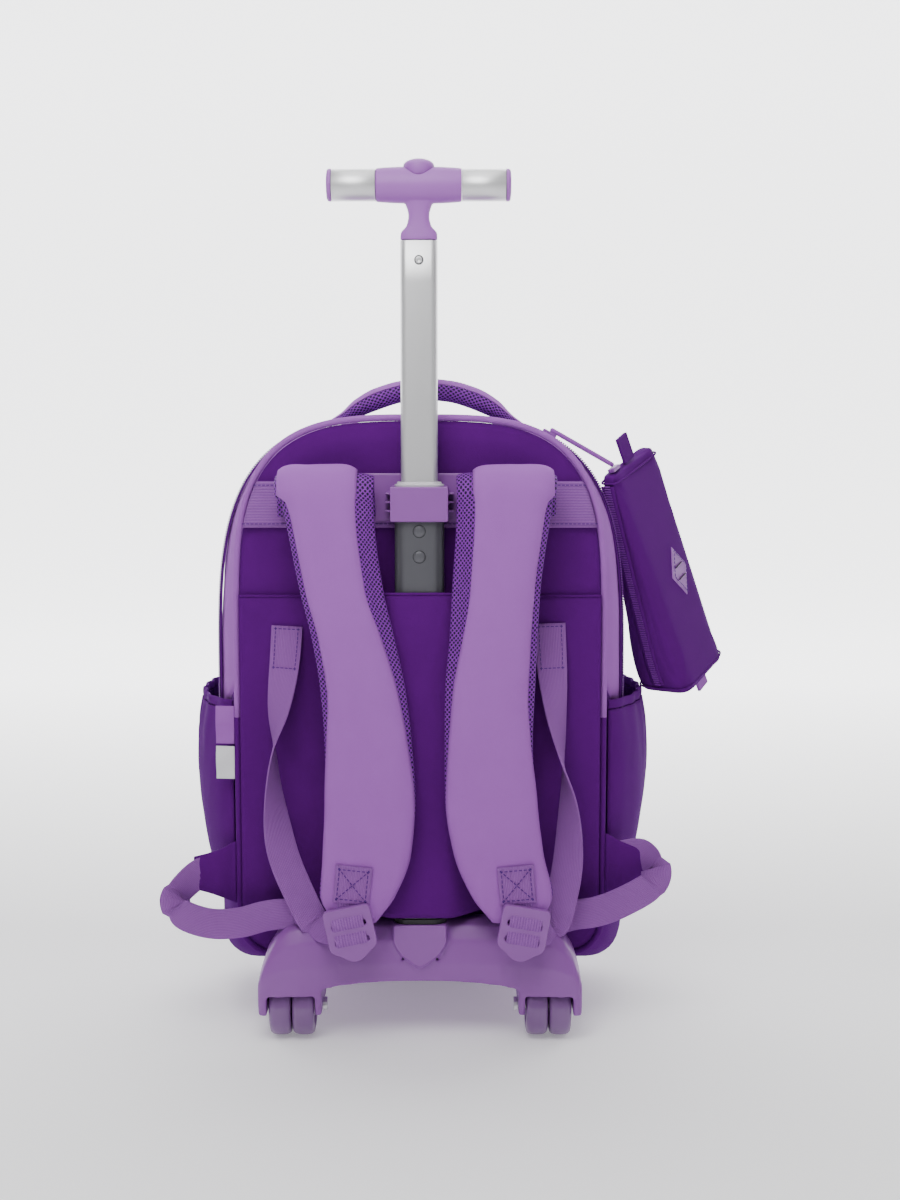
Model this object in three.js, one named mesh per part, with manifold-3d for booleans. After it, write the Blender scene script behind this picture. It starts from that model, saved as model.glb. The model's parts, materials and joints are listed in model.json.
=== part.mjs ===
// Wheeled school backpack with a telescoping pull handle, a twin-wheel base and a hanging pencil case.
// Millimetres. X runs right as seen from the strap side, Y runs away from the straps, Z up, floor at 0.
// The origin is the middle of the front foot's flat underside.
import * as THREE from "three";
import { mergeVertices } from "three/addons/utils/BufferGeometryUtils.js";
import Module from "manifold-3d";

// Clearances
const GAP = 0.3;
const TUBE_CLEARANCE = 0.9;
const BUSH_CLEARANCE = 0.3;
const WHEEL_CLEARANCE = 2;
const BUTTON_CLEARANCE = 0.4;

// Back panel and bag. Depths are measured from the panel's outer face, towards the bag's front.
const FOOT_DEPTH = 165;
const PANEL_HALF_WIDTH = 145.4;
const PANEL_THICK = 8;
const PANEL_TOP = 496.5;
const PANEL_BOTTOM = 63.5;
const PANEL_SHOULDER = 330;
const PIPING_DIAMETER = 5;
const BAG_HALF_WIDTH = 173;
const BAG_DEPTH = 200;
const BAG_BOTTOM = 40;
const BAG_SHOULDER = 273;
const BAG_WALL = 3;
const CORNER_RADIUS = 26;
const CROWN_POWER = 3.4;

// Main zip, running over the gusset close to the back
const ZIP_DEPTH = 44;
const ZIP_WIDTH = 9;
const ZIP_THICK = 1.6;
const ZIP_END_Z = 150;
const SLIDER_LENGTH = 12;
const SLIDER_WIDTH = 9;
const SLIDER_THICK = 3.4;
const SLIDER_HEIGHT_SHARE = 0.968;
const LOOP_CORD = 2.8;

// Sleeve over the outer tube, with webbing above it
const COVER_TOP = 357;
const COVER_BOTTOM = 102;
const COVER_WALL = 2;
const COVER_RISE = 5;
const COVER_SPREAD = 42;
const COVER_STEPS = 22;
const BAND_BOTTOM = 412;
const BAND_HEIGHT = 37;
const WEBBING_THICK = 1.6;
const WEBBING_WIDTH = 25;

// Pull handle: three nested flat-oval tubes in front of the panel
const TUBE_DEPTH = 20;
const OUTER_WIDTH = 39;
const OUTER_THICK = 22;
const TUBE_WALL = 1.6;
const OUTER_TOP = 443;
const OUTER_BOTTOM = 62;
const MIDDLE_BOTTOM = 112;
const BUSH_HEIGHT = 4.4;
const BUSH_RISE = 1.7;
const INNER_TOP = 635;
const INNER_BOTTOM = 252;
const LOCK_PIN_DIAMETER = 9;
const LOCK_PIN_DROP = 32;
const LOCK_PIN_PITCH = 20;
const LOCK_PIN_UPPER_Z = OUTER_TOP - LOCK_PIN_DROP;
const LOCK_PIN_LOWER_Z = LOCK_PIN_UPPER_Z - LOCK_PIN_PITCH;
const SCREW_DIAMETER = 6;
const SCREW_DROP = 15;
const SCREW_Z = INNER_TOP - SCREW_DROP;
const PLATE_WIDTH = 120;
const PLATE_BOTTOM = 417;
const PLATE_HEIGHT = 38.5;
const PLATE_THICK = 3;
const COLLAR_WIDTH = 45;
const COLLAR_FRONT = 5;
const COLLAR_BOTTOM = 418.6;
const COLLAR_HEIGHT = 27.4;
const RIB_REACH = 4.5;
const RIB_THICK = 1.5;
const RIB_COUNT = 3;
const RING_HEIGHT = 3.6;
const RING_WALL = 1.8;

// Grip across the top of the pull handle
const GRIP_RISE = 42;
const GRIP_Z = INNER_TOP + GRIP_RISE;
const GRIP_HALF_LENGTH = 71;
const GRIP_RADIUS = 12.25;
const BARREL_RADIUS = 14;
const BARREL_HALF_LENGTH = 33;
const SLEEVE_WALL = 1.2;
const CAP_LENGTH = 7;
const BUTTON_RADIUS = 12;
const BUTTON_RISE = 6;
const BUTTON_TOP = GRIP_Z + BARREL_RADIUS + BUTTON_RISE;
const BUTTON_HEIGHT = 15;
const BUTTON_TRAVEL = 4;

// Base, axles, wheels and front foot
const BASE_HALF_WIDTH = 130;
const BASE_FRONT = 42;
const BASE_MIDDLE_FRONT = 32;
const BASE_TOP = 96;
const BASE_SKIRT = 22;
const BASE_EASE = 16;
const RAMP_REACH = 16;
const ARCH_HALF_WIDTH = 79;
const ARCH_TOP = 49;
const ARCH_SIDE = 44;
const TRAY_THICK = 3.4;
const BOSS_WIDTH = 43;
const BOSS_TOP = 96.4;
const BOSS_SHOULDER = 82;
const BOSS_POINT = 61;
const BOSS_REACH = 4;
const WHEEL_RADIUS = 25;
const WHEEL_WIDTH = 18;
const WHEEL_DEPTH = 15;
const WELL_WALL = 5.5;
const COWL_EDGE = 39;
const AXLE_RADIUS = 4;
const AXLE_HEAD_RADIUS = 5.5;
const AXLE_HEAD = 3;
const HUB_CLEARANCE = 0.3;
const FOOT_HALF_LENGTH = 110;
const FOOT_WIDTH = 16;
const FOOT_FLARE = 5;

// Shoulder straps
const STRAP_THICK = 9;
const STRAP_FACE_THICK = 3;
const STRAP_STANDOFF = 40.5;
const STRAP_END_STANDOFF = 45;
const FOLD_RADIUS = 13.5;
const FOLD_Z = 440;
const ROOT_LENGTH = 18;
const TAB_LENGTH = 36;
const BUCKLE_WIDTH = 38;
const BUCKLE_HEIGHT = 44;
const BUCKLE_THICK = 5;
const BUCKLE_SLOT_WIDTH = 27;
const BUCKLE_SLOT = 4;
const TRIANGLE_REACH = 34;
const TRIANGLE_HEIGHT = 52;
const TRIANGLE_THICK = 2;
const TRIANGLE_TIP = 0.2;

// Side pockets
const POCKET_BOTTOM = 114;
const POCKET_TOP = 262;
const POCKET_BACK = 14;
const POCKET_FRONT = 168;
const POCKET_BULGE = 17;
const POCKET_WALL = 1.6;
const POCKET_GATHERS = 7;
const GATHER_HEIGHT = 1.3;
const HEM_HEIGHT = 8;
const HEM_WALL = 2.6;
const LABEL_THICK = 1;
const LABEL_REACH = 15;
const LOOP_LABEL_Z = 236;
const LOOP_LABEL_HEIGHT = 31;
const CARE_LABEL_Z = 207;
const CARE_LABEL_HEIGHT = 27;

// Carry handle over the top gusset
const HANDLE_SPAN = 158;
const HANDLE_RISE = 27;
const HANDLE_DEPTH = 23;
const HANDLE_THICK = 17;
const HANDLE_WIDTH = 20;
const HANDLE_END_THICK = 4;
const HANDLE_END_WIDTH = 26;
const HANDLE_OFFSET = 5;
const HANDLE_BED = 0.9;

// Pencil case: a soft wedge that leans out from the bag's right side
const POUCH_LENGTH = 205;
const POUCH_DEPTH = 42;
const POUCH_CLEAR = 18;
const POUCH_HEIGHT_SHARE = 0.893;
const POUCH_FACE = 84;
const POUCH_SIDE = 40;
const POUCH_WALL = 1.6;
const POUCH_ZIP_SLOT = 6;
const PATCH_LONG = 46;
const PATCH_WIDE = 30;
const PATCH_THICK = 1.6;
const PATCH_ALONG = 0.52;
const PATCH_ACROSS = 0.62;
const POUCH_TAB_WIDTH = 18;
const POUCH_TAB_LENGTH = 22;

// The bag's sections from the panel's rim to the front. swell runs from the panel's half width to the
// bag's, sink from the panel's bottom edge to the bag's, round from the panel's shoulder to the bag's, and
// drop is the share of the bag's height by which the top falls.
const BAG_SECTIONS = [
  { depth: 0.0, swell: 0.0, sink: 0.0, round: 0.0, drop: 0.0 },
  { depth: 0.09, swell: 0.45, sink: 0.5, round: 0.55, drop: 0.0 },
  { depth: 0.25, swell: 0.84, sink: 0.88, round: 0.9, drop: 0.0 },
  { depth: 0.48, swell: 1.0, sink: 1.0, round: 1.0, drop: 0.002 },
  { depth: 0.7, swell: 0.95, sink: 1.0, round: 1.0, drop: 0.01 },
  { depth: 0.86, swell: 0.7, sink: 0.85, round: 1.0, drop: 0.03 },
  { depth: 0.95, swell: 0.25, sink: 0.4, round: 1.0, drop: 0.065 },
  { depth: 1.0, swell: -0.4, sink: -0.2, round: 1.0, drop: 0.12 },
];

// Shallow folds of the gusset: depth and height as shares of the bag, spread and hollow as shares of its
// depth.
const GUSSET_FOLDS = [
  { side: -1, depth: 0.35, height: 0.66, spread: 0.11, hollow: 0.012 },
  { side: 1, depth: 0.4, height: 0.7, spread: 0.12, hollow: 0.014 },
  { side: -1, depth: 0.62, height: 0.78, spread: 0.13, hollow: 0.016 },
  { side: 1, depth: 0.66, height: 0.5, spread: 0.12, hollow: 0.013 },
];

// Creases across the back panel: height as a share of the panel, tilt and spread in shares of its height, and
// hollow as a share of its thickness.
const PANEL_CREASES = [
  { height: 0.778, tilt: 0.02, spread: 0.012, hollow: 0.26 },
  { height: 0.735, tilt: -0.03, spread: 0.014, hollow: 0.2 },
  { height: 0.045, tilt: 0.01, spread: 0.02, hollow: 0.22 },
];

// Hanging stretch of each strap: height as a share of the panel's height, edges as shares of its half width,
// and the strips of padding left bare by the face at either edge.
const STRAP_LEFT = [
  { height: 0.9, left: -0.77, right: -0.235, bareLeft: 0.02, bareRight: 0.1 },
  { height: 0.826, left: -0.722, right: -0.227, bareLeft: 0.05, bareRight: 0.11 },
  { height: 0.7, left: -0.65, right: -0.18, bareLeft: 0.05, bareRight: 0.11 },
  { height: 0.608, left: -0.585, right: -0.117, bareLeft: 0.055, bareRight: 0.085 },
  { height: 0.518, left: -0.543, right: -0.062, bareLeft: 0.055, bareRight: 0.06 },
  { height: 0.428, left: -0.523, right: -0.03, bareLeft: 0.03, bareRight: 0.04 },
  { height: 0.318, left: -0.516, right: -0.01, bareLeft: 0.01, bareRight: 0.02 },
  { height: 0.22, left: -0.528, right: -0.035, bareLeft: 0.01, bareRight: 0.015 },
  { height: 0.14, left: -0.54, right: -0.125, bareLeft: 0.01, bareRight: 0.015 },
  { height: 0.094, left: -0.465, right: -0.227, bareLeft: 0.01, bareRight: 0.015 },
];
const STRAP_RIGHT = [
  { height: 0.9, left: 0.192, right: 0.735, bareLeft: 0.1, bareRight: 0.02 },
  { height: 0.826, left: 0.188, right: 0.708, bareLeft: 0.11, bareRight: 0.05 },
  { height: 0.7, left: 0.165, right: 0.66, bareLeft: 0.11, bareRight: 0.05 },
  { height: 0.608, left: 0.15, right: 0.645, bareLeft: 0.085, bareRight: 0.055 },
  { height: 0.518, left: 0.127, right: 0.633, bareLeft: 0.06, bareRight: 0.055 },
  { height: 0.428, left: 0.124, right: 0.622, bareLeft: 0.04, bareRight: 0.03 },
  { height: 0.318, left: 0.127, right: 0.64, bareLeft: 0.02, bareRight: 0.01 },
  { height: 0.22, left: 0.175, right: 0.675, bareLeft: 0.015, bareRight: 0.01 },
  { height: 0.14, left: 0.275, right: 0.722, bareLeft: 0.015, bareRight: 0.01 },
  { height: 0.094, left: 0.385, right: 0.653, bareLeft: 0.015, bareRight: 0.01 },
];

// Webbing routes: across as a share of the panel's half width, height as a share of its height, out as a
// share of the straps' standoff in front of the panel, and turn as the webbing's twist in degrees.
const TAIL_LEFT = [
  { across: -0.732, height: 0.623, out: 0.1, turn: 0 },
  { across: -0.745, height: 0.55, out: 0.3, turn: 15 },
  { across: -0.775, height: 0.47, out: 0.48, turn: 45 },
  { across: -0.8, height: 0.4, out: 0.58, turn: 88 },
  { across: -0.8, height: 0.31, out: 0.62, turn: 120 },
  { across: -0.755, height: 0.21, out: 0.68, turn: 160 },
  { across: -0.65, height: 0.125, out: 0.8, turn: 180 },
  { across: -0.57, height: 0.08, out: 0.88, turn: 180 },
];
const TAIL_RIGHT = [
  { across: 0.715, height: 0.628, out: 0.1, turn: 0 },
  { across: 0.725, height: 0.55, out: 0.3, turn: -15 },
  { across: 0.745, height: 0.47, out: 0.46, turn: -45 },
  { across: 0.78, height: 0.385, out: 0.56, turn: -80 },
  { across: 0.815, height: 0.3, out: 0.62, turn: -120 },
  { across: 0.815, height: 0.2, out: 0.68, turn: -155 },
  { across: 0.775, height: 0.12, out: 0.8, turn: -180 },
  { across: 0.73, height: 0.075, out: 0.82, turn: -180 },
];
const ANCHOR_LEFT = [
  { across: -1.13, height: 0.165, out: -0.035, turn: 0 },
  { across: -1.25, height: 0.15, out: 0.03, turn: 0 },
  { across: -1.34, height: 0.125, out: 0.24, turn: 0 },
  { across: -1.365, height: 0.105, out: 0.38, turn: 0 },
  { across: -1.31, height: 0.085, out: 0.5, turn: 0 },
  { across: -1.16, height: 0.07, out: 0.54, turn: 0 },
  { across: -1.0, height: 0.072, out: 0.54, turn: 0 },
  { across: -0.85, height: 0.085, out: 0.5, turn: 0 },
];
const ANCHOR_RIGHT = [
  { across: 1.12, height: 0.185, out: -0.035, turn: 0 },
  { across: 1.24, height: 0.19, out: 0.02, turn: 0 },
  { across: 1.31, height: 0.17, out: 0.28, turn: 0 },
  { across: 1.28, height: 0.14, out: 0.42, turn: 0 },
  { across: 1.12, height: 0.11, out: 0.5, turn: 0 },
  { across: 0.98, height: 0.092, out: 0.5, turn: 0 },
  { across: 0.85, height: 0.085, out: 0.46, turn: 0 },
];

// Fixings at each strap's end: the buckle's place in shares of the panel, its turn in degrees, the lean of
// the webbing behind it, and the height of the seam triangle.
const STRAP_ENDS = {
  left: { across: -0.368, height: 0.076, turn: -12, lean: 0.04, triangle: 0.152 },
  right: { across: 0.558, height: 0.076, turn: 10, lean: -0.18, triangle: 0.167 },
};

// Bulge of a side pocket: height as a share of its height, out as a share of its largest bulge.
const POCKET_SECTIONS = [
  { height: 0.0, out: 0.0 },
  { height: 0.12, out: 0.42 },
  { height: 0.3, out: 0.72 },
  { height: 0.48, out: 0.92 },
  { height: 0.66, out: 1.0 },
  { height: 0.84, out: 0.92 },
  { height: 1.0, out: 0.66 },
];

// Sections of the carry handle from end to end: along the span, rise, width and thickness as shares.
const HANDLE_SECTIONS = [
  { along: -0.5, rise: 0.0, swell: 0.0 },
  { along: -0.42, rise: 0.16, swell: 0.3 },
  { along: -0.34, rise: 0.42, swell: 0.8 },
  { along: -0.24, rise: 0.71, swell: 1.0 },
  { along: -0.12, rise: 0.93, swell: 1.0 },
  { along: 0.0, rise: 1.0, swell: 1.0 },
  { along: 0.12, rise: 0.93, swell: 1.0 },
  { along: 0.24, rise: 0.71, swell: 1.0 },
  { along: 0.34, rise: 0.42, swell: 0.8 },
  { along: 0.42, rise: 0.16, swell: 0.3 },
  { along: 0.5, rise: 0.0, swell: 0.0 },
];

// Base from its middle to its end: across as a share of its half width, top between the skirt and the top
// edge, front between the recessed middle and the humps over the wheels.
const BASE_SECTIONS = [
  { across: 0.0, top: 1.0, front: 0.0 },
  { across: 0.3, top: 1.0, front: 0.0 },
  { across: 0.5, top: 1.0, front: 0.25 },
  { across: 0.62, top: 1.0, front: 0.7 },
  { across: 0.74, top: 1.0, front: 1.0 },
  { across: 0.82, top: 0.96, front: 1.0 },
  { across: 0.89, top: 0.84, front: 1.0 },
  { across: 0.95, top: 0.68, front: 0.95 },
  { across: 0.985, top: 0.5, front: 0.85 },
  { across: 1.0, top: 0.34, front: 0.7 },
];

// Sections of the grip's neck from the tube up: height as a share of the neck, half widths as shares of the
// tube.
const NECK_SECTIONS = [
  { height: 0.0, wide: 1.0, thick: 1.0 },
  { height: 0.14, wide: 0.98, thick: 1.0 },
  { height: 0.3, wide: 0.66, thick: 0.98 },
  { height: 0.5, wide: 0.56, thick: 1.0 },
  { height: 0.72, wide: 0.7, thick: 1.15 },
  { height: 1.0, wide: 1.15, thick: 1.4 },
];

// Sections of the pencil case from its top end: the side's width and the face's width as shares.
const POUCH_SECTIONS = [
  { along: 0.0, side: 0.2, face: 0.92 },
  { along: 0.06, side: 0.26, face: 0.98 },
  { along: 0.3, side: 0.44, face: 1.0 },
  { along: 0.6, side: 0.68, face: 1.01 },
  { along: 0.94, side: 0.96, face: 1.0 },
  { along: 1.0, side: 0.94, face: 0.96 },
];

const PANEL_Y = -FOOT_DEPTH;
const BAG_TOP = PANEL_TOP;
const PANEL_HEIGHT = PANEL_TOP - PANEL_BOTTOM;
const RIM_DEPTH = PANEL_THICK + GAP;
const TUBE_Y = PANEL_Y - TUBE_DEPTH;
const TAU = 2 * Math.PI;

const wasm = await Module();
wasm.setup();

// Geometry helpers

const mix = (a, b, t) => a + (b - a) * t;
const clamp = (v, low, high) => Math.min(high, Math.max(low, v));
const smooth = (t) => t * t * (3 - 2 * t);
const bell = (v, spread) => Math.exp(-(v * v) / (2 * spread * spread));
const radians = THREE.MathUtils.degToRad;
const vec = (x, y, z) => new THREE.Vector3(x, y, z);
const atDepth = (depth) => PANEL_Y + depth;
const panelZ = (share) => PANEL_BOTTOM + share * PANEL_HEIGHT;

/** Values of a table's columns at a place along its key column, mixed between the two nearest rows. */
function row(table, key, at) {
  let i = 0;
  while (i < table.length - 2 && table[i + 1][key] < at) i += 1;
  const [a, b] = [table[i], table[i + 1]];
  const t = clamp((at - a[key]) / (b[key] - a[key]), 0, 1);
  return Object.fromEntries(Object.keys(a).map((name) => [name, mix(a[name], b[name], t)]));
}

/** A geometry from points and faces, turned so that its faces point outwards. */
function solid(points, faces) {
  let volume = 0;
  for (const [a, b, c] of faces) {
    volume += points[a].dot(points[b].clone().cross(points[c]));
  }
  const turned = volume < 0 ? faces.map(([a, b, c]) => [a, c, b]) : faces;
  const geometry = new THREE.BufferGeometry();
  const flat = points.flatMap((p) => [p.x, p.y, p.z]);
  geometry.setAttribute("position", new THREE.Float32BufferAttribute(flat, 3));
  geometry.setIndex(turned.flat());
  return geometry;
}

/** Triangles over one flat ring of points, as index triples into the ring. */
function capFaces(ring) {
  const normal = vec(0, 0, 0);
  ring.forEach((p, i) => normal.add(p.clone().cross(ring[(i + 1) % ring.length])));
  normal.normalize();
  const along = Math.abs(normal.z) < 0.9 ? vec(0, 0, 1) : vec(1, 0, 0);
  const u = along.cross(normal).normalize();
  const v = normal.clone().cross(u);
  const flat = ring.map((p) => new THREE.Vector2(p.dot(u), p.dot(v)));
  return THREE.ShapeUtils.triangulateShape(flat, []);
}

/**
 * Closed solid through rings of equally many points; the ends are capped, or joined when looped. A tape's two
 * faces are split along the same diagonals, which keeps its thickness where it twists.
 */
function loft(rings, { looped = false, tape = false } = {}) {
  const count = rings[0].length;
  const points = rings.flat();
  const faces = [];
  const spans = looped ? rings.length : rings.length - 1;
  for (let i = 0; i < spans; i += 1) {
    const next = (i + 1) % rings.length;
    for (let j = 0; j < count; j += 1) {
      const k = (j + 1) % count;
      const [a, b] = [i * count + j, i * count + k];
      const [c, d] = [next * count + j, next * count + k];
      if (tape && j >= count / 2) faces.push([a, b, c], [b, d, c]);
      else faces.push([a, b, d], [a, d, c]);
    }
  }
  if (!looped) {
    const last = (rings.length - 1) * count;
    for (const [a, b, c] of capFaces(rings[0])) faces.push([a, c, b]);
    for (const [a, b, c] of capFaces(rings.at(-1))) faces.push([last + a, last + b, last + c]);
  }
  return solid(points, faces);
}

/** Closed sheet between two surfaces over the unit square, sampled at the given steps. */
function sheet(stepsU, stepsV, outer, inner) {
  const rings = [];
  for (let i = 0; i <= stepsU; i += 1) {
    const ring = [];
    for (let j = 0; j <= stepsV; j += 1) ring.push(outer(i / stepsU, j / stepsV));
    for (let j = stepsV; j >= 0; j -= 1) ring.push(inner(i / stepsU, j / stepsV));
    rings.push(ring);
  }
  const count = rings[0].length;
  const points = rings.flat();
  const faces = [];
  for (let i = 0; i < stepsU; i += 1) {
    for (let j = 0; j < count; j += 1) {
      const k = (j + 1) % count;
      const [a, b, c, d] = [i * count + j, i * count + k, (i + 1) * count + j, (i + 1) * count + k];
      faces.push([a, b, d], [a, d, c]);
    }
  }
  for (const [end, flip] of [[0, true], [stepsU, false]]) {
    for (let j = 0; j < stepsV; j += 1) {
      const [a, b] = [end * count + j, end * count + j + 1];
      const [c, d] = [end * count + count - 1 - j, end * count + count - 2 - j];
      faces.push(flip ? [a, d, b] : [a, b, d], flip ? [a, c, d] : [a, d, c]);
    }
  }
  return solid(points, faces);
}

/** Superellipse ring of shares between -1 and 1, boxier for a higher power. */
function roundedSquare(count, power) {
  return Array.from({ length: count }, (_, i) => {
    const angle = (TAU * (i + 0.5)) / count;
    const [c, s] = [Math.cos(angle), Math.sin(angle)];
    const share = (v) => Math.sign(v) * Math.abs(v) ** (2 / power);
    return [share(c), share(s)];
  });
}

const FLAT_SECTION = [[-1, -1], [1, -1], [1, 1], [-1, 1]];
const PADDED_SECTION = roundedSquare(10, 3.2);

/** Strip between two edge curves: a section of shares across its width and through its thickness. */
function strip(lefts, rights, thick, section, shift = 0, tape = false) {
  const middles = lefts.map((p, i) => p.clone().lerp(rights[i], 0.5));
  const rings = lefts.map((left, i) => {
    const ahead = middles[Math.min(i + 1, middles.length - 1)];
    const behind = middles[Math.max(i - 1, 0)];
    const across = rights[i].clone().sub(left);
    const normal = ahead.clone().sub(behind).cross(across).normalize();
    return section.map(([a, b]) =>
      middles[i].clone().addScaledVector(across, a / 2).addScaledVector(normal, (b * thick) / 2 + shift),
    );
  });
  return loft(rings, { tape });
}

/** Points along a smooth curve through the given ones. */
function along(points, steps) {
  return new THREE.CatmullRomCurve3(points, false, "centripetal").getPoints(steps);
}

/** Solid for cutting and joining, from a geometry with its shared vertices merged. */
function toSolid(geometry) {
  const bare = new THREE.BufferGeometry();
  const plain = geometry.index ? geometry.toNonIndexed() : geometry;
  bare.setAttribute("position", plain.getAttribute("position"));
  const merged = mergeVertices(bare, 1e-3);
  const vertProperties = merged.attributes.position.array;
  const triVerts = new Uint32Array(merged.index.array);
  return new wasm.Manifold(new wasm.Mesh({ numProp: 3, vertProperties, triVerts }));
}

/** Geometry of a cut or joined solid. */
function toGeometry(body) {
  const mesh = body.getMesh();
  const geometry = new THREE.BufferGeometry();
  const flat = new Float32Array(mesh.numVert * 3);
  for (let i = 0; i < mesh.numVert; i += 1) {
    flat.set(mesh.vertProperties.subarray(i * mesh.numProp, i * mesh.numProp + 3), i * 3);
  }
  geometry.setAttribute("position", new THREE.BufferAttribute(flat, 3));
  geometry.setIndex(new THREE.BufferAttribute(mesh.triVerts, 1));
  return geometry;
}

/** First geometry joined with more and then cut by others. */
function combine(first, { join = [], cut = [] }) {
  let body = toSolid(first);
  for (const piece of join) body = body.add(toSolid(piece));
  for (const piece of cut) body = body.subtract(toSolid(piece));
  return toGeometry(body);
}

/** Box between two corners. */
function block(low, high) {
  const size = [high[0] - low[0], high[1] - low[1], high[2] - low[2]];
  const middle = low.map((v, i) => v + size[i] / 2);
  return new THREE.BoxGeometry(...size).translate(...middle);
}

/** Cylinder along X between two places. */
function rodX(radius, from, to, y, z, sides) {
  const rod = new THREE.CylinderGeometry(radius, radius, to - from, sides);
  return rod.rotateZ(Math.PI / 2).translate((from + to) / 2, y, z);
}

/** Flat-oval outline, wide along X, set in or out by an offset. */
function ovalPath(width, thick, offset) {
  const [w, t] = [width / 2 + offset, thick / 2 + offset];
  const path = new THREE.Shape();
  const reach = w - t * 0.9;
  path.absellipse(reach, 0, w - reach, t, -Math.PI / 2, Math.PI / 2, false);
  path.absellipse(-reach, 0, w - reach, t, Math.PI / 2, (3 * Math.PI) / 2, false);
  path.closePath();
  return path;
}

/** Upright flat-oval prism between two heights, hollow where a hole path is given. */
function uprightOval(path, hole, bottom, top) {
  if (hole) path.holes.push(hole);
  const geometry = new THREE.ExtrudeGeometry(path, {
    depth: top - bottom,
    bevelEnabled: false,
    curveSegments: 5,
  });
  return geometry.translate(0, TUBE_Y, bottom);
}

// Bag body

/** Sizes of the bag's section at a depth behind the panel's outer face. */
function bagSection(depth) {
  const s = row(BAG_SECTIONS, "depth", (depth - RIM_DEPTH) / (BAG_DEPTH - RIM_DEPTH));
  return {
    halfWidth: mix(PANEL_HALF_WIDTH, BAG_HALF_WIDTH, s.swell),
    bottom: mix(PANEL_BOTTOM, BAG_BOTTOM, s.sink),
    shoulder: mix(PANEL_SHOULDER, BAG_SHOULDER, s.round),
    top: BAG_TOP - s.drop * PANEL_HEIGHT,
  };
}

/** Ring of a section: rounded bottom corners, straight sides and a crown that rounds over. */
function sectionRing(section, y, inset = 0) {
  const w = section.halfWidth - inset;
  const low = section.bottom + inset;
  const radius = CORNER_RADIUS - inset;
  const crown = section.top - inset - section.shoulder;
  const right = [];
  for (let k = 0; k <= 4; k += 1) {
    const angle = (Math.PI / 8) * k;
    right.push([w - radius + radius * Math.sin(angle), low + radius - radius * Math.cos(angle)]);
  }
  for (let k = 1; k <= 3; k += 1) right.push([w, mix(low + radius, section.shoulder, k / 4)]);
  for (let k = 0; k <= 7; k += 1) {
    const angle = (Math.PI / 16) * k;
    const power = 2 / CROWN_POWER;
    right.push([w * Math.cos(angle) ** power, section.shoulder + crown * Math.sin(angle) ** power]);
  }
  const left = right.map(([x, z]) => [-x, z]).reverse();
  const top = [[0, section.top - inset]];
  return [...right, ...top, ...left, [0, low]].map(([x, z]) => vec(x, y, z));
}

/** Half width of a section at a height. */
function halfWidthAt(section, z) {
  const crown = section.top - section.shoulder;
  const t = clamp((z - section.shoulder) / crown, 0, 1);
  return section.halfWidth * (1 - t ** CROWN_POWER) ** (1 / CROWN_POWER);
}

/** The ring's points drawn in where the gusset's folds lie. */
function folded(ring, depth) {
  for (const p of ring) {
    for (const fold of GUSSET_FOLDS) {
      const away = (depth / BAG_DEPTH - fold.depth) * BAG_DEPTH;
      const up = p.z - panelZ(fold.height);
      const near = bell(Math.hypot(away, up), fold.spread * BAG_DEPTH);
      if (p.x * fold.side > 0) p.x -= fold.side * near * fold.hollow * BAG_DEPTH;
    }
  }
  return ring;
}

/** Gusset, bottom and front as one cloth shell, open at the back where the panel closes it. */
function bagShell() {
  const depths = BAG_SECTIONS.map((s) => mix(RIM_DEPTH, BAG_DEPTH, s.depth));
  const outer = depths.map((d) => folded(sectionRing(bagSection(d), atDepth(d)), d));
  const inner = depths.map((d) => {
    const back = d - (BAG_WALL * (d - RIM_DEPTH)) / (BAG_DEPTH - RIM_DEPTH);
    return folded(sectionRing(bagSection(d), atDepth(back), BAG_WALL), d);
  });
  return loft([...outer.reverse(), ...inner]);
}

function panelSection() {
  return {
    halfWidth: PANEL_HALF_WIDTH,
    bottom: PANEL_BOTTOM,
    shoulder: PANEL_SHOULDER,
    top: PANEL_TOP,
  };
}

/** Padded back panel with creases across its face. */
function backPanel() {
  const edge = sectionRing(panelSection(), 0);
  const middle = vec(0, 0, panelZ(0.5));
  const creased = (p) => {
    let hollow = 0;
    for (const crease of PANEL_CREASES) {
      const line = panelZ(crease.height) + (crease.tilt * PANEL_HEIGHT * p.x) / PANEL_HALF_WIDTH;
      hollow += bell(p.z - line, crease.spread * PANEL_HEIGHT) * crease.hollow * PANEL_THICK;
    }
    return hollow;
  };
  const rings = [0.3, 0.56, 0.7, 0.82, 0.91, 0.97].map((share) =>
    edge.map((p) => {
      const q = middle.clone().lerp(p, share);
      return q.setY(PANEL_Y + creased(q));
    }),
  );
  rings.push(edge.map((p) => vec(p.x, PANEL_Y + PANEL_THICK * 0.3, p.z)));
  rings.push(edge.map((p) => vec(p.x, PANEL_Y + PANEL_THICK, p.z)));
  return loft(rings);
}

/** Round piping along the panel's edge. */
function backPiping() {
  const radius = PIPING_DIAMETER / 2;
  const route = sectionRing(panelSection(), atDepth(PANEL_THICK / 2), -(GAP + radius));
  const rings = route.map((p, i) => {
    const ahead = route[(i + 1) % route.length];
    const behind = route[(i + route.length - 1) % route.length];
    const forward = ahead.clone().sub(behind).normalize();
    const out = vec(0, 1, 0).cross(forward);
    return Array.from({ length: 6 }, (_, k) => {
      const angle = (TAU * k) / 6;
      const q = p.clone().addScaledVector(out, radius * Math.cos(angle));
      return q.add(vec(0, radius * Math.sin(angle), 0));
    });
  });
  return loft(rings, { looped: true });
}

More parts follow.
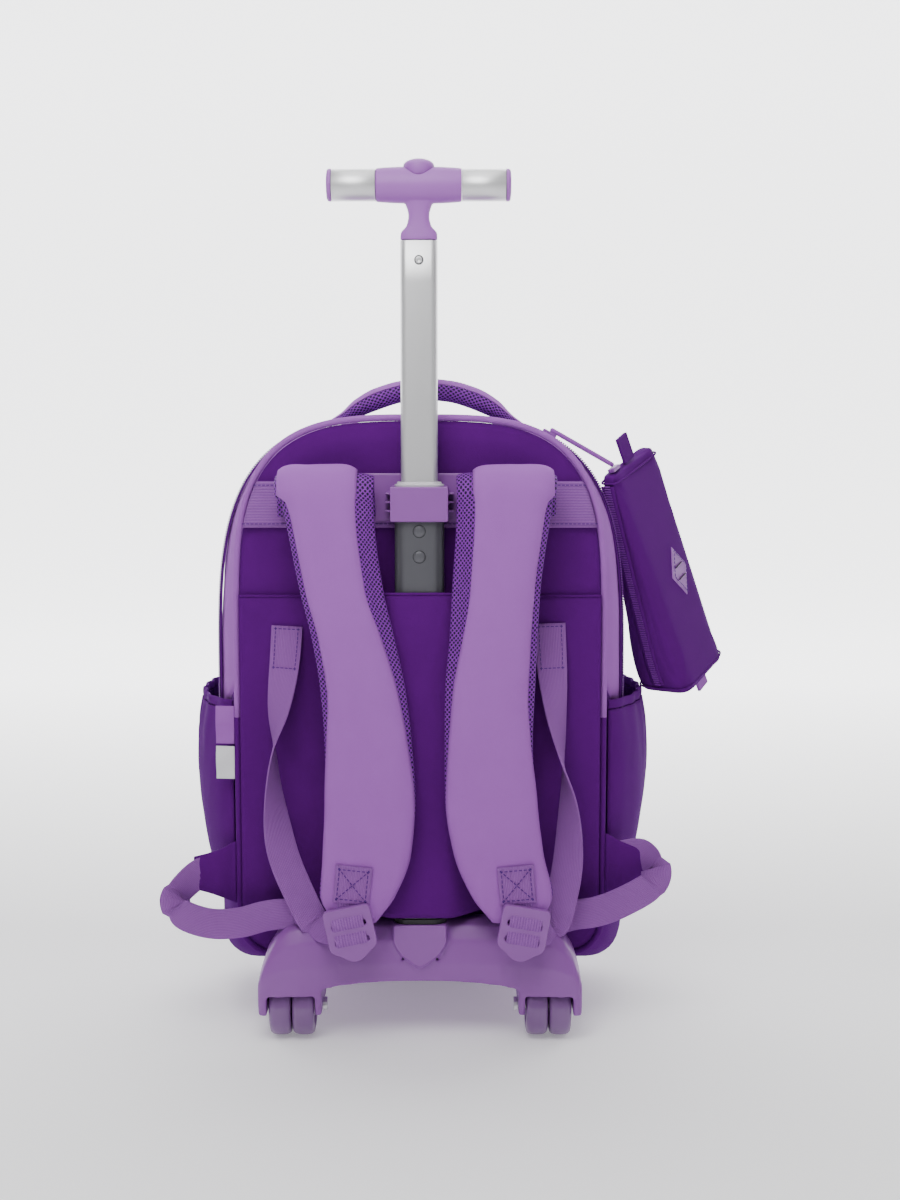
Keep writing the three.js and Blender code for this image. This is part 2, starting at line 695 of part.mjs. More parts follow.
/** Right half of the zip's line over the gusset, from its lower end to the middle of the top. */
function zipLine(depth, offset) {
  const section = bagSection(depth);
  const ring = sectionRing(section, atDepth(depth), -offset);
  const upper = ring.filter((p) => p.x > 0 && p.z > ZIP_END_Z);
  const end = vec(section.halfWidth + offset, atDepth(depth), ZIP_END_Z);
  const top = vec(0, atDepth(depth), section.top + offset);
  const right = [end, ...upper, top];
  const left = right.slice(0, -1).map((p) => vec(-p.x, p.y, p.z)).reverse();
  return [...right, ...left];
}

/** Zip tape and teeth as one strip that lies on the gusset. */
function mainZip() {
  const [near, far] = [ZIP_DEPTH - ZIP_WIDTH / 2, ZIP_DEPTH + ZIP_WIDTH / 2];
  const low = GAP * 2;
  const corners = [
    zipLine(near, low),
    zipLine(far, low),
    zipLine(far, low + ZIP_THICK),
    zipLine(near, low + ZIP_THICK),
  ];
  return loft(corners[0].map((_, i) => corners.map((line) => line[i])));
}

/** Where the slider rests on the zip's line: its point, the outward normal and the line's turn there. */
function sliderPlace() {
  const section = bagSection(ZIP_DEPTH);
  const z = panelZ(SLIDER_HEIGHT_SHARE);
  const x = halfWidthAt(section, z);
  const step = 4;
  const slope = Math.atan2(step, x - halfWidthAt(section, z - step));
  return { point: vec(x, atDepth(ZIP_DEPTH), z), normal: vec(Math.sin(slope), 0, -Math.cos(slope)), slope };
}

function sliderMiddle() {
  const { point, normal } = sliderPlace();
  return point.addScaledVector(normal, ZIP_THICK + GAP * 3 + SLIDER_THICK / 2);
}

function mainZipSlider() {
  const body = new THREE.BoxGeometry(SLIDER_LENGTH, SLIDER_WIDTH, SLIDER_THICK);
  body.rotateY(Math.PI - sliderPlace().slope);
  return body.translate(...sliderMiddle());
}

// Sleeve, webbing and the pull handle's fixings

/** How far in front of the panel the sleeve's inner face lies, at a place across it. */
function coverReach(x) {
  const flat = OUTER_WIDTH / 2 + 1;
  const t = clamp((Math.abs(x) - flat) / COVER_SPREAD, 0, 1);
  return mix(TUBE_DEPTH + OUTER_THICK / 2 + GAP * 2, GAP, smooth(t));
}

/** Cloth sleeve across the back, bulging over the outer tube. */
function coverPanel() {
  const place = (u, v, out) => {
    const side = 2 * u - 1;
    const x = Math.sign(side) * Math.abs(side) ** 1.5 * PANEL_HALF_WIDTH;
    const reach = coverReach(x);
    const rise = (COVER_RISE * reach) / (TUBE_DEPTH + OUTER_THICK / 2);
    const z = mix(COVER_BOTTOM, COVER_TOP + rise, v);
    return vec(x, PANEL_Y - reach - out, z);
  };
  return sheet(COVER_STEPS, 4, (u, v) => place(u, v, COVER_WALL), (u, v) => place(u, v, 0));
}

/** Wide webbing across the panel, cut along the panel's sides. */
function loadBand() {
  const place = (u, v, out) => {
    const z = BAND_BOTTOM + v * BAND_HEIGHT;
    const x = mix(-1, 1, u) * (halfWidthAt(panelSection(), z) - GAP);
    return vec(x, PANEL_Y - GAP - out, z);
  };
  return sheet(2, 4, (u, v) => place(u, v, WEBBING_THICK), (u, v) => place(u, v, 0));
}

const PLATE_BACK = GAP * 2 + WEBBING_THICK;

/** Moulded plate that holds the collar to the panel. */
function bracketPlate() {
  const back = PANEL_Y - PLATE_BACK;
  const low = [-PLATE_WIDTH / 2, back - PLATE_THICK, PLATE_BOTTOM];
  return block(low, [PLATE_WIDTH / 2, back, PLATE_BOTTOM + PLATE_HEIGHT]);
}

/** Collar round the tube, with ribs at either side. */
function tubeCollar() {
  const back = PANEL_Y - PLATE_BACK - PLATE_THICK - GAP;
  const front = TUBE_Y - OUTER_THICK / 2 - COLLAR_FRONT;
  const top = COLLAR_BOTTOM + COLLAR_HEIGHT;
  const half = COLLAR_WIDTH / 2;
  const ribs = [];
  for (let i = 0; i < RIB_COUNT; i += 1) {
    const z = COLLAR_BOTTOM + (COLLAR_HEIGHT * (i + 1)) / (RIB_COUNT + 1);
    const reach = half + RIB_REACH;
    ribs.push(block([-reach, back - OUTER_THICK * 0.7, z], [reach, back, z + RIB_THICK]));
  }
  const hole = uprightOval(ovalPath(OUTER_WIDTH, OUTER_THICK, GAP), null, COLLAR_BOTTOM - 1, top + 1);
  return combine(block([-half, front, COLLAR_BOTTOM], [half, back, top]), { join: ribs, cut: [hole] });
}

// Pull handle

const MIDDLE_WIDTH = OUTER_WIDTH - 2 * (TUBE_WALL + TUBE_CLEARANCE);
const MIDDLE_THICK = OUTER_THICK - 2 * (TUBE_WALL + TUBE_CLEARANCE);
const INNER_WIDTH = MIDDLE_WIDTH - 2 * (TUBE_WALL + TUBE_CLEARANCE);
const INNER_THICK = MIDDLE_THICK - 2 * (TUBE_WALL + TUBE_CLEARANCE);
const MIDDLE_TOP = OUTER_TOP + BUSH_RISE;

function ovalTube(width, thick, bottom, top) {
  return uprightOval(ovalPath(width, thick, 0), ovalPath(width, thick, -TUBE_WALL), bottom, top);
}

/** Short cylinder along Y, for pins and screws in the tubes' front faces. */
function frontDisc(diameter, from, to, z) {
  const disc = new THREE.CylinderGeometry(diameter / 2, diameter / 2, to - from, 12);
  return disc.translate(0, (from + to) / 2, z);
}

/** Fixed outer tube with the two holes of its lock pins. */
function outerTube() {
  const front = TUBE_Y - OUTER_THICK / 2;
  const holes = [LOCK_PIN_UPPER_Z, LOCK_PIN_LOWER_Z].map((z) =>
    frontDisc(LOCK_PIN_DIAMETER + 2 * GAP, front - 1, front + TUBE_WALL + TUBE_CLEARANCE / 2, z),
  );
  return combine(ovalTube(OUTER_WIDTH, OUTER_THICK, OUTER_BOTTOM, OUTER_TOP), { cut: holes });
}

function lockPin(z) {
  const front = TUBE_Y - OUTER_THICK / 2;
  return frontDisc(LOCK_PIN_DIAMETER, front - 0.2, front + TUBE_WALL, z);
}

function tubeBush() {
  const path = ovalPath(MIDDLE_WIDTH, MIDDLE_THICK, 0);
  const hole = ovalPath(INNER_WIDTH, INNER_THICK, BUSH_CLEARANCE);
  const bottom = MIDDLE_TOP + GAP;
  return uprightOval(path, hole, bottom, bottom + BUSH_HEIGHT);
}

/** Sliding inner tube with the countersunk hole of its screw. */
function innerTube() {
  const front = TUBE_Y - INNER_THICK / 2;
  const hole = frontDisc(SCREW_DIAMETER + 2 * GAP, front - 1, front + TUBE_WALL + 1, SCREW_Z);
  return combine(ovalTube(INNER_WIDTH, INNER_THICK, INNER_BOTTOM, INNER_TOP), { cut: [hole] });
}

function tubeScrew() {
  const front = TUBE_Y - INNER_THICK / 2;
  return frontDisc(SCREW_DIAMETER, front, front + TUBE_WALL, SCREW_Z);
}

/** Black ring where the outer tube enters the base's boss. */
function tubeRing() {
  const hole = ovalPath(OUTER_WIDTH, OUTER_THICK, GAP);
  const bottom = BOSS_TOP + GAP;
  const path = ovalPath(OUTER_WIDTH, OUTER_THICK, GAP + RING_WALL);
  return uprightOval(path, hole, bottom, bottom + RING_HEIGHT);
}

const CORE_RADIUS = GRIP_RADIUS - SLEEVE_WALL - GAP;
const CORE_END = GRIP_HALF_LENGTH - CAP_LENGTH - GAP;
const BUTTON_BOTTOM = BUTTON_TOP - BUTTON_HEIGHT;

const GRIP_SIDES = 16;

/** Lathe profile turned to run along X, on either side. */
function lathedX(profile, side = 1) {
  const points = profile.map(([x, r]) => new THREE.Vector2(r, side * x));
  if (side < 0) points.reverse();
  const turned = new THREE.LatheGeometry(points, GRIP_SIDES).rotateZ(-Math.PI / 2);
  return turned.translate(0, TUBE_Y, GRIP_Z);
}

/** Barrel, core and neck of the grip in one moulding, hollowed for the button. */
function gripBody() {
  const barrel = lathedX([
    [-BARREL_HALF_LENGTH, 0],
    [-BARREL_HALF_LENGTH, GRIP_RADIUS],
    [-BARREL_HALF_LENGTH * 0.55, mix(GRIP_RADIUS, BARREL_RADIUS, 0.75)],
    [0, BARREL_RADIUS],
    [BARREL_HALF_LENGTH * 0.55, mix(GRIP_RADIUS, BARREL_RADIUS, 0.75)],
    [BARREL_HALF_LENGTH, GRIP_RADIUS],
    [BARREL_HALF_LENGTH, 0],
  ]);
  const core = rodX(CORE_RADIUS, -CORE_END, CORE_END, TUBE_Y, GRIP_Z, GRIP_SIDES);
  const bottom = INNER_TOP + GAP;
  const height = GRIP_Z - BARREL_RADIUS * 0.6 - bottom;
  const neck = loft(
    NECK_SECTIONS.map((s) =>
      roundedSquare(16, 2.8).map(([a, b]) => {
        const x = (a * s.wide * INNER_WIDTH) / 2;
        return vec(x, TUBE_Y + (b * s.thick * INNER_THICK) / 2, bottom + s.height * height);
      }),
    ),
  );
  const pocketFloor = BUTTON_BOTTOM - BUTTON_TRAVEL - BUTTON_CLEARANCE;
  const pocketRadius = BUTTON_RADIUS + BUTTON_CLEARANCE;
  const pocket = new THREE.CylinderGeometry(pocketRadius, pocketRadius, BUTTON_TOP - pocketFloor, GRIP_SIDES);
  pocket.rotateX(Math.PI / 2).translate(0, TUBE_Y, (BUTTON_TOP + pocketFloor) / 2);
  return combine(barrel, { join: [core, neck], cut: [pocket] });
}

/** Aluminium sleeve over the grip's core, on one side. */
function gripSleeve(side) {
  const from = BARREL_HALF_LENGTH + GAP;
  const to = GRIP_HALF_LENGTH - CAP_LENGTH - GAP;
  const inner = GRIP_RADIUS - SLEEVE_WALL;
  const profile = [
    [from, inner],
    [from, GRIP_RADIUS],
    [to, GRIP_RADIUS],
    [to, inner],
    [from, inner],
  ];
  return lathedX(profile, side);
}

function gripCap(side) {
  const from = GRIP_HALF_LENGTH - CAP_LENGTH;
  const profile = [
    [from, 0],
    [from, GRIP_RADIUS],
    [mix(from, GRIP_HALF_LENGTH, 0.6), GRIP_RADIUS],
    [mix(from, GRIP_HALF_LENGTH, 0.88), GRIP_RADIUS * 0.86],
    [GRIP_HALF_LENGTH, GRIP_RADIUS * 0.55],
    [GRIP_HALF_LENGTH, 0],
  ];
  return lathedX(profile, side);
}

/** Domed button in the top of the grip. */
function gripButton() {
  const profile = [
    [0, BUTTON_BOTTOM],
    [BUTTON_RADIUS, BUTTON_BOTTOM],
    [BUTTON_RADIUS, mix(BUTTON_BOTTOM, BUTTON_TOP, 0.6)],
    [BUTTON_RADIUS * 0.85, mix(BUTTON_BOTTOM, BUTTON_TOP, 0.82)],
    [BUTTON_RADIUS * 0.5, mix(BUTTON_BOTTOM, BUTTON_TOP, 0.96)],
    [0, BUTTON_TOP],
  ];
  const points = profile.map(([r, z]) => new THREE.Vector2(r, z));
  return new THREE.LatheGeometry(points, GRIP_SIDES).rotateX(Math.PI / 2).translate(0, TUBE_Y, 0);
}

// Base, wheels and foot

const AXLE_Y = PANEL_Y - WHEEL_DEPTH;
const AXLE_Z = WHEEL_RADIUS;
const WELL_INNER = ARCH_HALF_WIDTH + WELL_WALL;
const WHEEL_GAP = 0.6;
const WELL_OUTER = WELL_INNER + 2 * WHEEL_WIDTH + 4 * WHEEL_GAP;

/** Ring of the base's outer form at a place across it: front face, top, tray under the bag and underside. */
function baseRing(across) {
  const s = row(BASE_SECTIONS, "across", Math.abs(across));
  const x = across * BASE_HALF_WIDTH;
  const top = mix(BASE_SKIRT, BASE_TOP, s.top);
  const front = -mix(BASE_MIDDLE_FRONT, BASE_FRONT, s.front);
  const panelEdge = PANEL_BOTTOM - GAP * 2 - PIPING_DIAMETER - GAP;
  const under = Math.min(panelEdge, top - 1);
  const trayEnd = FOOT_DEPTH + FOOT_WIDTH / 2;
  const back = WHEEL_RADIUS + WHEEL_CLEARANCE - WHEEL_DEPTH + WELL_WALL;
  const trayDepths = BAG_SECTIONS.slice(1, 5).map((part) => mix(RIM_DEPTH, BAG_DEPTH, part.depth));
  const tray = trayDepths.map((depth) => [depth, Math.min(bagSection(depth).bottom - GAP * 2, under - 1)]);
  const trayLow = BAG_BOTTOM - GAP * 2 - TRAY_THICK;
  const rise = top - ARCH_TOP;
  const profile = [
    [front + 3, BASE_SKIRT],
    [front, mix(BASE_SKIRT, top, 0.25)],
    [front, ARCH_TOP + rise * 0.3],
    [front + 3, ARCH_TOP + rise * 0.7],
    [front + 9, ARCH_TOP + rise * 0.93],
    [front + BASE_EASE, top],
    [-GAP * 3, top],
    [-GAP * 3, under],
    [RIM_DEPTH, under - 0.5],
    ...tray,
    [trayEnd, tray.at(-1)[1]],
    [trayEnd, trayLow],
    [back + 14, trayLow],
    [back, BASE_SKIRT],
  ];
  return profile.map(([depth, z]) => vec(x, atDepth(depth), z));
}

/** Moulded base: arch between the wheels, a well over each pair and a socket for the outer tube. */
function wheelBase() {
  const half = BASE_SECTIONS.map((s) => s.across);
  const stations = [...half.slice(1).reverse().map((a) => -a), ...half];
  const body = loft(stations.map(baseRing));
  const boss = new THREE.Shape();
  const bossHalf = BOSS_WIDTH / 2;
  boss.moveTo(-bossHalf, BOSS_TOP);
  boss.lineTo(-bossHalf, BOSS_SHOULDER);
  boss.quadraticCurveTo(-bossHalf * 0.8, mix(BOSS_SHOULDER, BOSS_POINT, 0.6), 0, BOSS_POINT);
  boss.quadraticCurveTo(bossHalf * 0.8, mix(BOSS_SHOULDER, BOSS_POINT, 0.6), bossHalf, BOSS_SHOULDER);
  boss.lineTo(bossHalf, BOSS_TOP);
  const bossFront = BASE_MIDDLE_FRONT + BOSS_REACH;
  const shield = new THREE.ExtrudeGeometry(boss, {
    depth: bossFront - 1,
    bevelEnabled: false,
    curveSegments: 4,
  });
  shield.rotateX(Math.PI / 2).translate(0, PANEL_Y - 1, 0);
  const socket = uprightOval(ovalPath(OUTER_WIDTH, OUTER_THICK, GAP), null, OUTER_BOTTOM - GAP, BASE_TOP + 9);
  const arch = new THREE.Shape();
  arch.moveTo(-ARCH_HALF_WIDTH, -1);
  arch.lineTo(-ARCH_HALF_WIDTH, ARCH_SIDE);
  arch.quadraticCurveTo(0, 2 * ARCH_TOP - ARCH_SIDE, ARCH_HALF_WIDTH, ARCH_SIDE);
  arch.lineTo(ARCH_HALF_WIDTH, -1);
  const archDepth = BASE_FRONT + RIM_DEPTH + 14;
  const opening = new THREE.ExtrudeGeometry(arch, {
    depth: archDepth,
    bevelEnabled: false,
    curveSegments: 8,
  });
  opening.rotateX(Math.PI / 2).translate(0, PANEL_Y - BASE_FRONT - 1 + archDepth, 0);
  const rampEnd = WHEEL_RADIUS + WHEEL_CLEARANCE - WHEEL_DEPTH + WELL_WALL + RAMP_REACH;
  const ramp = block(
    [-ARCH_HALF_WIDTH, PANEL_Y, -1],
    [ARCH_HALF_WIDTH, atDepth(rampEnd), BAG_BOTTOM - 2 * GAP - TRAY_THICK],
  );
  const cuts = [socket, opening, ramp];
  for (const side of [-1, 1]) {
    const [from, to] = side > 0 ? [WELL_INNER, WELL_OUTER] : [-WELL_OUTER, -WELL_INNER];
    const radius = WHEEL_RADIUS + WHEEL_CLEARANCE;
    cuts.push(rodX(radius, from, to, AXLE_Y, AXLE_Z, 20));
    cuts.push(block([from, AXLE_Y - radius, -1], [to, AXLE_Y + radius, AXLE_Z]));
    cuts.push(block([from, PANEL_Y - BASE_FRONT - 2, -1], [to, AXLE_Y, COWL_EDGE]));
    const [axleFrom, axleTo] = side > 0 ? [0, AXLE_TIP + GAP] : [-AXLE_TIP - GAP, 0];
    cuts.push(rodX(AXLE_RADIUS + GAP, axleFrom, axleTo, AXLE_Y, AXLE_Z, 12));
  }
  return combine(body, { join: [shield], cut: cuts });
}

const AXLE_TIP = WELL_OUTER + (BASE_HALF_WIDTH - WELL_OUTER) / 2;

/** Axle through one pair's well, with its bolt head on the arch's side. */
function wheelAxle(side) {
  const shaft = rodX(AXLE_RADIUS, ARCH_HALF_WIDTH - GAP - 1, AXLE_TIP, AXLE_Y, AXLE_Z, 12);
  const headFrom = ARCH_HALF_WIDTH - GAP - AXLE_HEAD;
  const head = rodX(AXLE_HEAD_RADIUS, headFrom, ARCH_HALF_WIDTH - GAP, AXLE_Y, AXLE_Z, 12);
  const axle = combine(shaft, { join: [head] });
  return side > 0 ? axle : mirroredX(axle);
}

/** A geometry mirrored in the plane X = 0, with its faces turned to point outwards. */
function mirroredX(geometry) {
  const body = toSolid(geometry);
  const mesh = body.getMesh();
  const points = [];
  for (let i = 0; i < mesh.numVert; i += 1) {
    const [x, y, z] = mesh.vertProperties.subarray(i * mesh.numProp, i * mesh.numProp + 3);
    points.push(vec(-x, y, z));
  }
  const faces = [];
  for (let i = 0; i < mesh.triVerts.length; i += 3) faces.push([...mesh.triVerts.subarray(i, i + 3)]);
  return solid(points, faces);
}

const WHEEL_SIDES = 18;

/** One wheel with a rounded tread and a dished side, centred on the place given along the axle. */
function wheel(x) {
  const half = WHEEL_WIDTH / 2;
  const bore = AXLE_RADIUS + HUB_CLEARANCE;
  const profile = [
    [bore, -half],
    [WHEEL_RADIUS * 0.4, -half * 0.8],
    [WHEEL_RADIUS * 0.74, -half],
    [WHEEL_RADIUS * 0.92, -half * 0.82],
    [WHEEL_RADIUS, -half * 0.3],
    [WHEEL_RADIUS, half * 0.3],
    [WHEEL_RADIUS * 0.92, half * 0.82],
    [WHEEL_RADIUS * 0.74, half],
    [WHEEL_RADIUS * 0.4, half * 0.8],
    [bore, half],
    [bore, -half],
  ];
  const points = profile.map(([r, a]) => new THREE.Vector2(r, a));
  const turned = new THREE.LatheGeometry(points, WHEEL_SIDES).rotateZ(-Math.PI / 2);
  return turned.rotateX(Math.PI / 2).translate(x, AXLE_Y, AXLE_Z);
}

/** Rail under the front edge of the bag, with a flat underside. */
function frontFoot() {
  const top = BAG_BOTTOM - GAP * 3 - TRAY_THICK;
  const shape = new THREE.Shape();
  shape.moveTo(-FOOT_WIDTH / 2, 0);
  shape.lineTo(FOOT_WIDTH / 2, 0);
  shape.lineTo(FOOT_WIDTH / 2, top);
  shape.lineTo(-FOOT_WIDTH / 2 - FOOT_FLARE, top);
  const rail = new THREE.ExtrudeGeometry(shape, { depth: 2 * FOOT_HALF_LENGTH, bevelEnabled: false });
  return rail.rotateX(Math.PI / 2).rotateZ(Math.PI / 2).translate(-FOOT_HALF_LENGTH, 0, 0);
}

// Shoulder straps

const STRAP_STEPS = 13;

/** Centre line and edges of a strap from its root, over the fold and down, with bare strips at its edges. */
function strapRoute(table) {
  const root = STRAP_STANDOFF - 2 * FOLD_RADIUS;
  const stations = [{ out: root, z: FOLD_Z - ROOT_LENGTH, s: table[0] }];
  for (let k = 0; k <= 6; k += 1) {
    const angle = (Math.PI * k) / 6;
    stations.push({
      out: root + FOLD_RADIUS * (1 - Math.cos(angle)),
      z: FOLD_Z + FOLD_RADIUS * Math.sin(angle),
      s: table[0],
    });
  }
  for (let k = 1; k <= STRAP_STEPS; k += 1) {
    const height = mix((FOLD_Z - PANEL_BOTTOM) / PANEL_HEIGHT, table.at(-1).height, k / STRAP_STEPS);
    const s = row([...table].reverse(), "height", height);
    stations.push({ out: mix(STRAP_STANDOFF, STRAP_END_STANDOFF, k / STRAP_STEPS), z: panelZ(height), s });
  }
  return stations;
}

function strapEdges(table, bare) {
  const edges = { lefts: [], rights: [] };
  for (const { out, z, s } of strapRoute(table)) {
    const [l, r] = bare ? [s.left + s.bareLeft, s.right - s.bareRight] : [s.left, s.right];
    edges.lefts.push(vec(l * PANEL_HALF_WIDTH, PANEL_Y - out, z));
    edges.rights.push(vec(r * PANEL_HALF_WIDTH, PANEL_Y - out, z));
  }
  return edges;
}

function strapPad(table) {
  const { lefts, rights } = strapEdges(table, false);
  return strip(lefts, rights, STRAP_THICK, PADDED_SECTION);
}

function strapFace(table) {
  const { lefts, rights } = strapEdges(table, true);
  const lift = (STRAP_THICK + STRAP_FACE_THICK) / 2 + GAP;
  return strip(lefts, rights, STRAP_FACE_THICK, FLAT_SECTION, lift);
}

/** Middle of the back of a strap's buckle. */
function bucklePlace(end) {
  const front = STRAP_END_STANDOFF + STRAP_THICK / 2 + STRAP_FACE_THICK + 2 * GAP;
  return vec(end.across * PANEL_HALF_WIDTH, PANEL_Y - front - WEBBING_THICK - GAP, panelZ(end.height));
}

/** Webbing sewn on a strap's end, reaching behind its buckle. */
function strapTab(end) {
  const place = bucklePlace(end);
  const bottom = place.z + BUCKLE_HEIGHT * 0.2;
  const top = bottom + TAB_LENGTH;
  const edge = (a, z) => vec(
    place.x + end.lean * (z - place.z) + (a * WEBBING_WIDTH) / 2,
    place.y + GAP + WEBBING_THICK / 2,
    z,
  );
  const heights = [bottom, mix(bottom, top, 0.5), top];
  const lefts = heights.map((z) => edge(-1, z));
  const rights = heights.map((z) => edge(1, z));
  return strip(lefts, rights, WEBBING_THICK, FLAT_SECTION);
}

/** Ladder buckle: a frame with three bars round two slots, and a rounded tongue below. */
function strapBuckle(end) {
  const [w, h] = [BUCKLE_WIDTH / 2, BUCKLE_HEIGHT / 2];
  const shape = new THREE.Shape();
  shape.moveTo(-w, h * 0.75);
  shape.quadraticCurveTo(-w, h, -w * 0.8, h);
  shape.lineTo(w * 0.8, h);
  shape.quadraticCurveTo(w, h, w, h * 0.75);
  shape.lineTo(w, -h * 0.4);
  shape.quadraticCurveTo(w * 0.95, -h * 0.6, w * 0.6, -h * 0.72);
  shape.quadraticCurveTo(w * 0.3, -h, 0, -h);
  shape.quadraticCurveTo(-w * 0.3, -h, -w * 0.6, -h * 0.72);
  shape.quadraticCurveTo(-w * 0.95, -h * 0.6, -w, -h * 0.4);
  for (const middle of [h * 0.36, -h * 0.22]) {
    const slot = new THREE.Path();
    const [sw, sh] = [BUCKLE_SLOT_WIDTH / 2, BUCKLE_SLOT / 2];
    slot.moveTo(-sw, middle - sh);
    slot.lineTo(sw, middle - sh);
    slot.lineTo(sw, middle + sh);
    slot.lineTo(-sw, middle + sh);
    shape.holes.push(slot);
  }
  const frame = new THREE.ExtrudeGeometry(shape, {
    depth: BUCKLE_THICK,
    bevelEnabled: false,
    curveSegments: 3,
  });
  return frame.rotateX(Math.PI / 2).rotateY(radians(end.turn)).translate(...bucklePlace(end));
}

/** Webbing along a route of table rows, twisted about its own line. */
function webbing(table) {
  const points = table.map((s) =>
    vec(s.across * PANEL_HALF_WIDTH, PANEL_Y - s.out * STRAP_STANDOFF, panelZ(s.height)),
  );
  const steps = (table.length - 1) * 2;
  const line = along(points, steps);
  const turns = along(table.map((s) => vec(s.turn, 0, 0)), steps);
  const lefts = [];
  const rights = [];
  line.forEach((p, i) => {
    const forward = line[Math.min(i + 1, steps)].clone().sub(line[Math.max(i - 1, 0)]).normalize();
    const facing = vec(0, -1, 0);
    const level = Math.abs(forward.z) < 0.72;
    const across = level ? vec(0, 0, 1) : facing.clone().cross(forward);
    across.addScaledVector(forward, -across.dot(forward)).normalize();
    if (level && forward.x > 0) across.negate();
    across.applyAxisAngle(forward, radians(turns[i].x)).multiplyScalar(WEBBING_WIDTH / 2);
    lefts.push(p.clone().sub(across));
    rights.push(p.clone().add(across));
  });
  return strip(lefts, rights, WEBBING_THICK, FLAT_SECTION, 0, true);
}

/** Cloth triangle in the side seam that holds the lower webbing. */
function anchorTriangle(side, end) {
  const edge = PANEL_HALF_WIDTH + PIPING_DIAMETER + 2 * GAP;
  const middle = panelZ(end.triangle);
  const shape = new THREE.Shape();
  shape.moveTo(0, TRIANGLE_HEIGHT / 2);
  shape.lineTo(TRIANGLE_REACH, (TRIANGLE_TIP * TRIANGLE_HEIGHT) / 2);
  shape.lineTo(TRIANGLE_REACH, (-TRIANGLE_TIP * TRIANGLE_HEIGHT) / 2);
  shape.lineTo(0, -TRIANGLE_HEIGHT / 2);
  const cloth = new THREE.ExtrudeGeometry(shape, { depth: TRIANGLE_THICK, bevelEnabled: false });
  cloth.rotateX(Math.PI / 2).translate(edge, PANEL_Y + (PANEL_THICK + TRIANGLE_THICK) / 2, middle);
  return side > 0 ? cloth : mirroredX(cloth);
}

// Side pockets and labels

const POCKET_STEPS = 22;

/** Outward face of a pocket at shares of its depth and height. */
function pocketFace(u, v, out) {
  const depth = mix(POCKET_BACK, POCKET_FRONT, u);
  const s = row(POCKET_SECTIONS, "height", clamp(v, 0, 1));
  const round = Math.sin(Math.PI * u) ** 0.55;
  const gather = Math.sin(TAU * POCKET_GATHERS * u) * GATHER_HEIGHT * v ** 4 * round;
  const x = bagSection(depth).halfWidth + GAP * 3 + s.out * round * POCKET_BULGE + gather + out;
  return vec(x, atDepth(depth), mix(POCKET_BOTTOM, POCKET_TOP, v));
}

function sidePocket(side) {
  const outer = (u, v) => pocketFace(u, v, POCKET_WALL);
  const inner = (u, v) => pocketFace(u, v, 0);
  const cloth = sheet(POCKET_STEPS, 6, outer, inner);
  return side > 0 ? cloth : mirroredX(cloth);
}

/** Elastic hem along the pocket's mouth. */
function pocketHem(side) {
  const place = (u, v, out) => {
    const p = pocketFace(u, 1, out);
    return p.setZ(POCKET_TOP + GAP + v * HEM_HEIGHT);
  };
  const hem = sheet(POCKET_STEPS, 1, (u, v) => place(u, v, HEM_WALL), (u, v) => place(u, v, 0));
  return side > 0 ? hem : mirroredX(hem);
}

/** Bare label that stands out of the left side seam. */
function seamLabel(z, height) {
  const edge = PANEL_HALF_WIDTH + PIPING_DIAMETER + 2 * GAP;
  const near = PANEL_Y + PANEL_THICK / 2;
  return block([-edge - LABEL_REACH, near, z], [-edge, near + LABEL_THICK, z + height]);
}

// Carry handle

/** Height of the gusset's top at a place across a section. */
function crownZ(section, x) {
  const share = Math.abs(x) / section.halfWidth;
  const rise = (1 - share ** CROWN_POWER) ** (1 / CROWN_POWER);
  return section.shoulder + (section.top - section.shoulder) * rise;
}

/** Middle line of the carry handle: from the gusset at either end up to its arch. */
function handleLine(section) {
  return HANDLE_SECTIONS.map((s) => {
    const x = HANDLE_OFFSET + s.along * HANDLE_SPAN;
    const seat = crownZ(section, x) + HANDLE_END_THICK / 2 + 2 * GAP - HANDLE_BED;
    return vec(x, atDepth(HANDLE_DEPTH), mix(seat, section.top + HANDLE_RISE, s.rise));
  });
}

/** One half of the handle's padding, above or below its middle. */
function carryHandle(upper) {
  const line = handleLine(bagSection(HANDLE_DEPTH));
  const rings = HANDLE_SECTIONS.map((s, i) => {
    const forward = line[Math.min(i + 1, line.length - 1)].clone().sub(line[Math.max(i - 1, 0)]);
    const lift = forward.normalize().cross(vec(0, 1, 0)).negate();
    const thick = mix(HANDLE_END_THICK, HANDLE_THICK, s.swell) / 2;
    const width = mix(HANDLE_END_WIDTH, HANDLE_WIDTH, s.swell) / 2;
    return Array.from({ length: 7 }, (_, k) => {
      const angle = (Math.PI * k) / 6;
      const rise = (upper ? 1 : -1) * (thick * Math.sin(angle) + GAP / 2);
      return line[i].clone().add(vec(0, width * Math.cos(angle), 0)).addScaledVector(lift, rise);
    });
  });
  return loft(rings);
}

// Pencil case

const POUCH_AXIS = vec(0.343, 0.196, -0.919).normalize();
const POUCH_ACROSS = vec(0.51, 0.81, 0.3).normalize();
const POUCH_INWARD = vec(-0.86, 0.5, 0.02).normalize();

/** Top corner of the pencil case's ridge, beside the gusset. */
function pouchCorner() {
  const section = bagSection(POUCH_DEPTH);
  const z = panelZ(POUCH_HEIGHT_SHARE);
  return vec(halfWidthAt(section, z) + POUCH_CLEAR, atDepth(POUCH_DEPTH), z);
}

/** Point of the pencil case at shares along it, into its side and across its face. */
function pouchPoint(alongShare, sideShare, faceShare, lift = 0) {
  const s = row(POUCH_SECTIONS, "along", alongShare);
  const p = pouchCorner().addScaledVector(POUCH_AXIS, alongShare * POUCH_LENGTH);
  p.addScaledVector(POUCH_INWARD, sideShare * s.side * POUCH_SIDE - lift);
  return p.addScaledVector(POUCH_ACROSS, (0.5 + (faceShare - 0.5) * s.face) * POUCH_FACE);
}

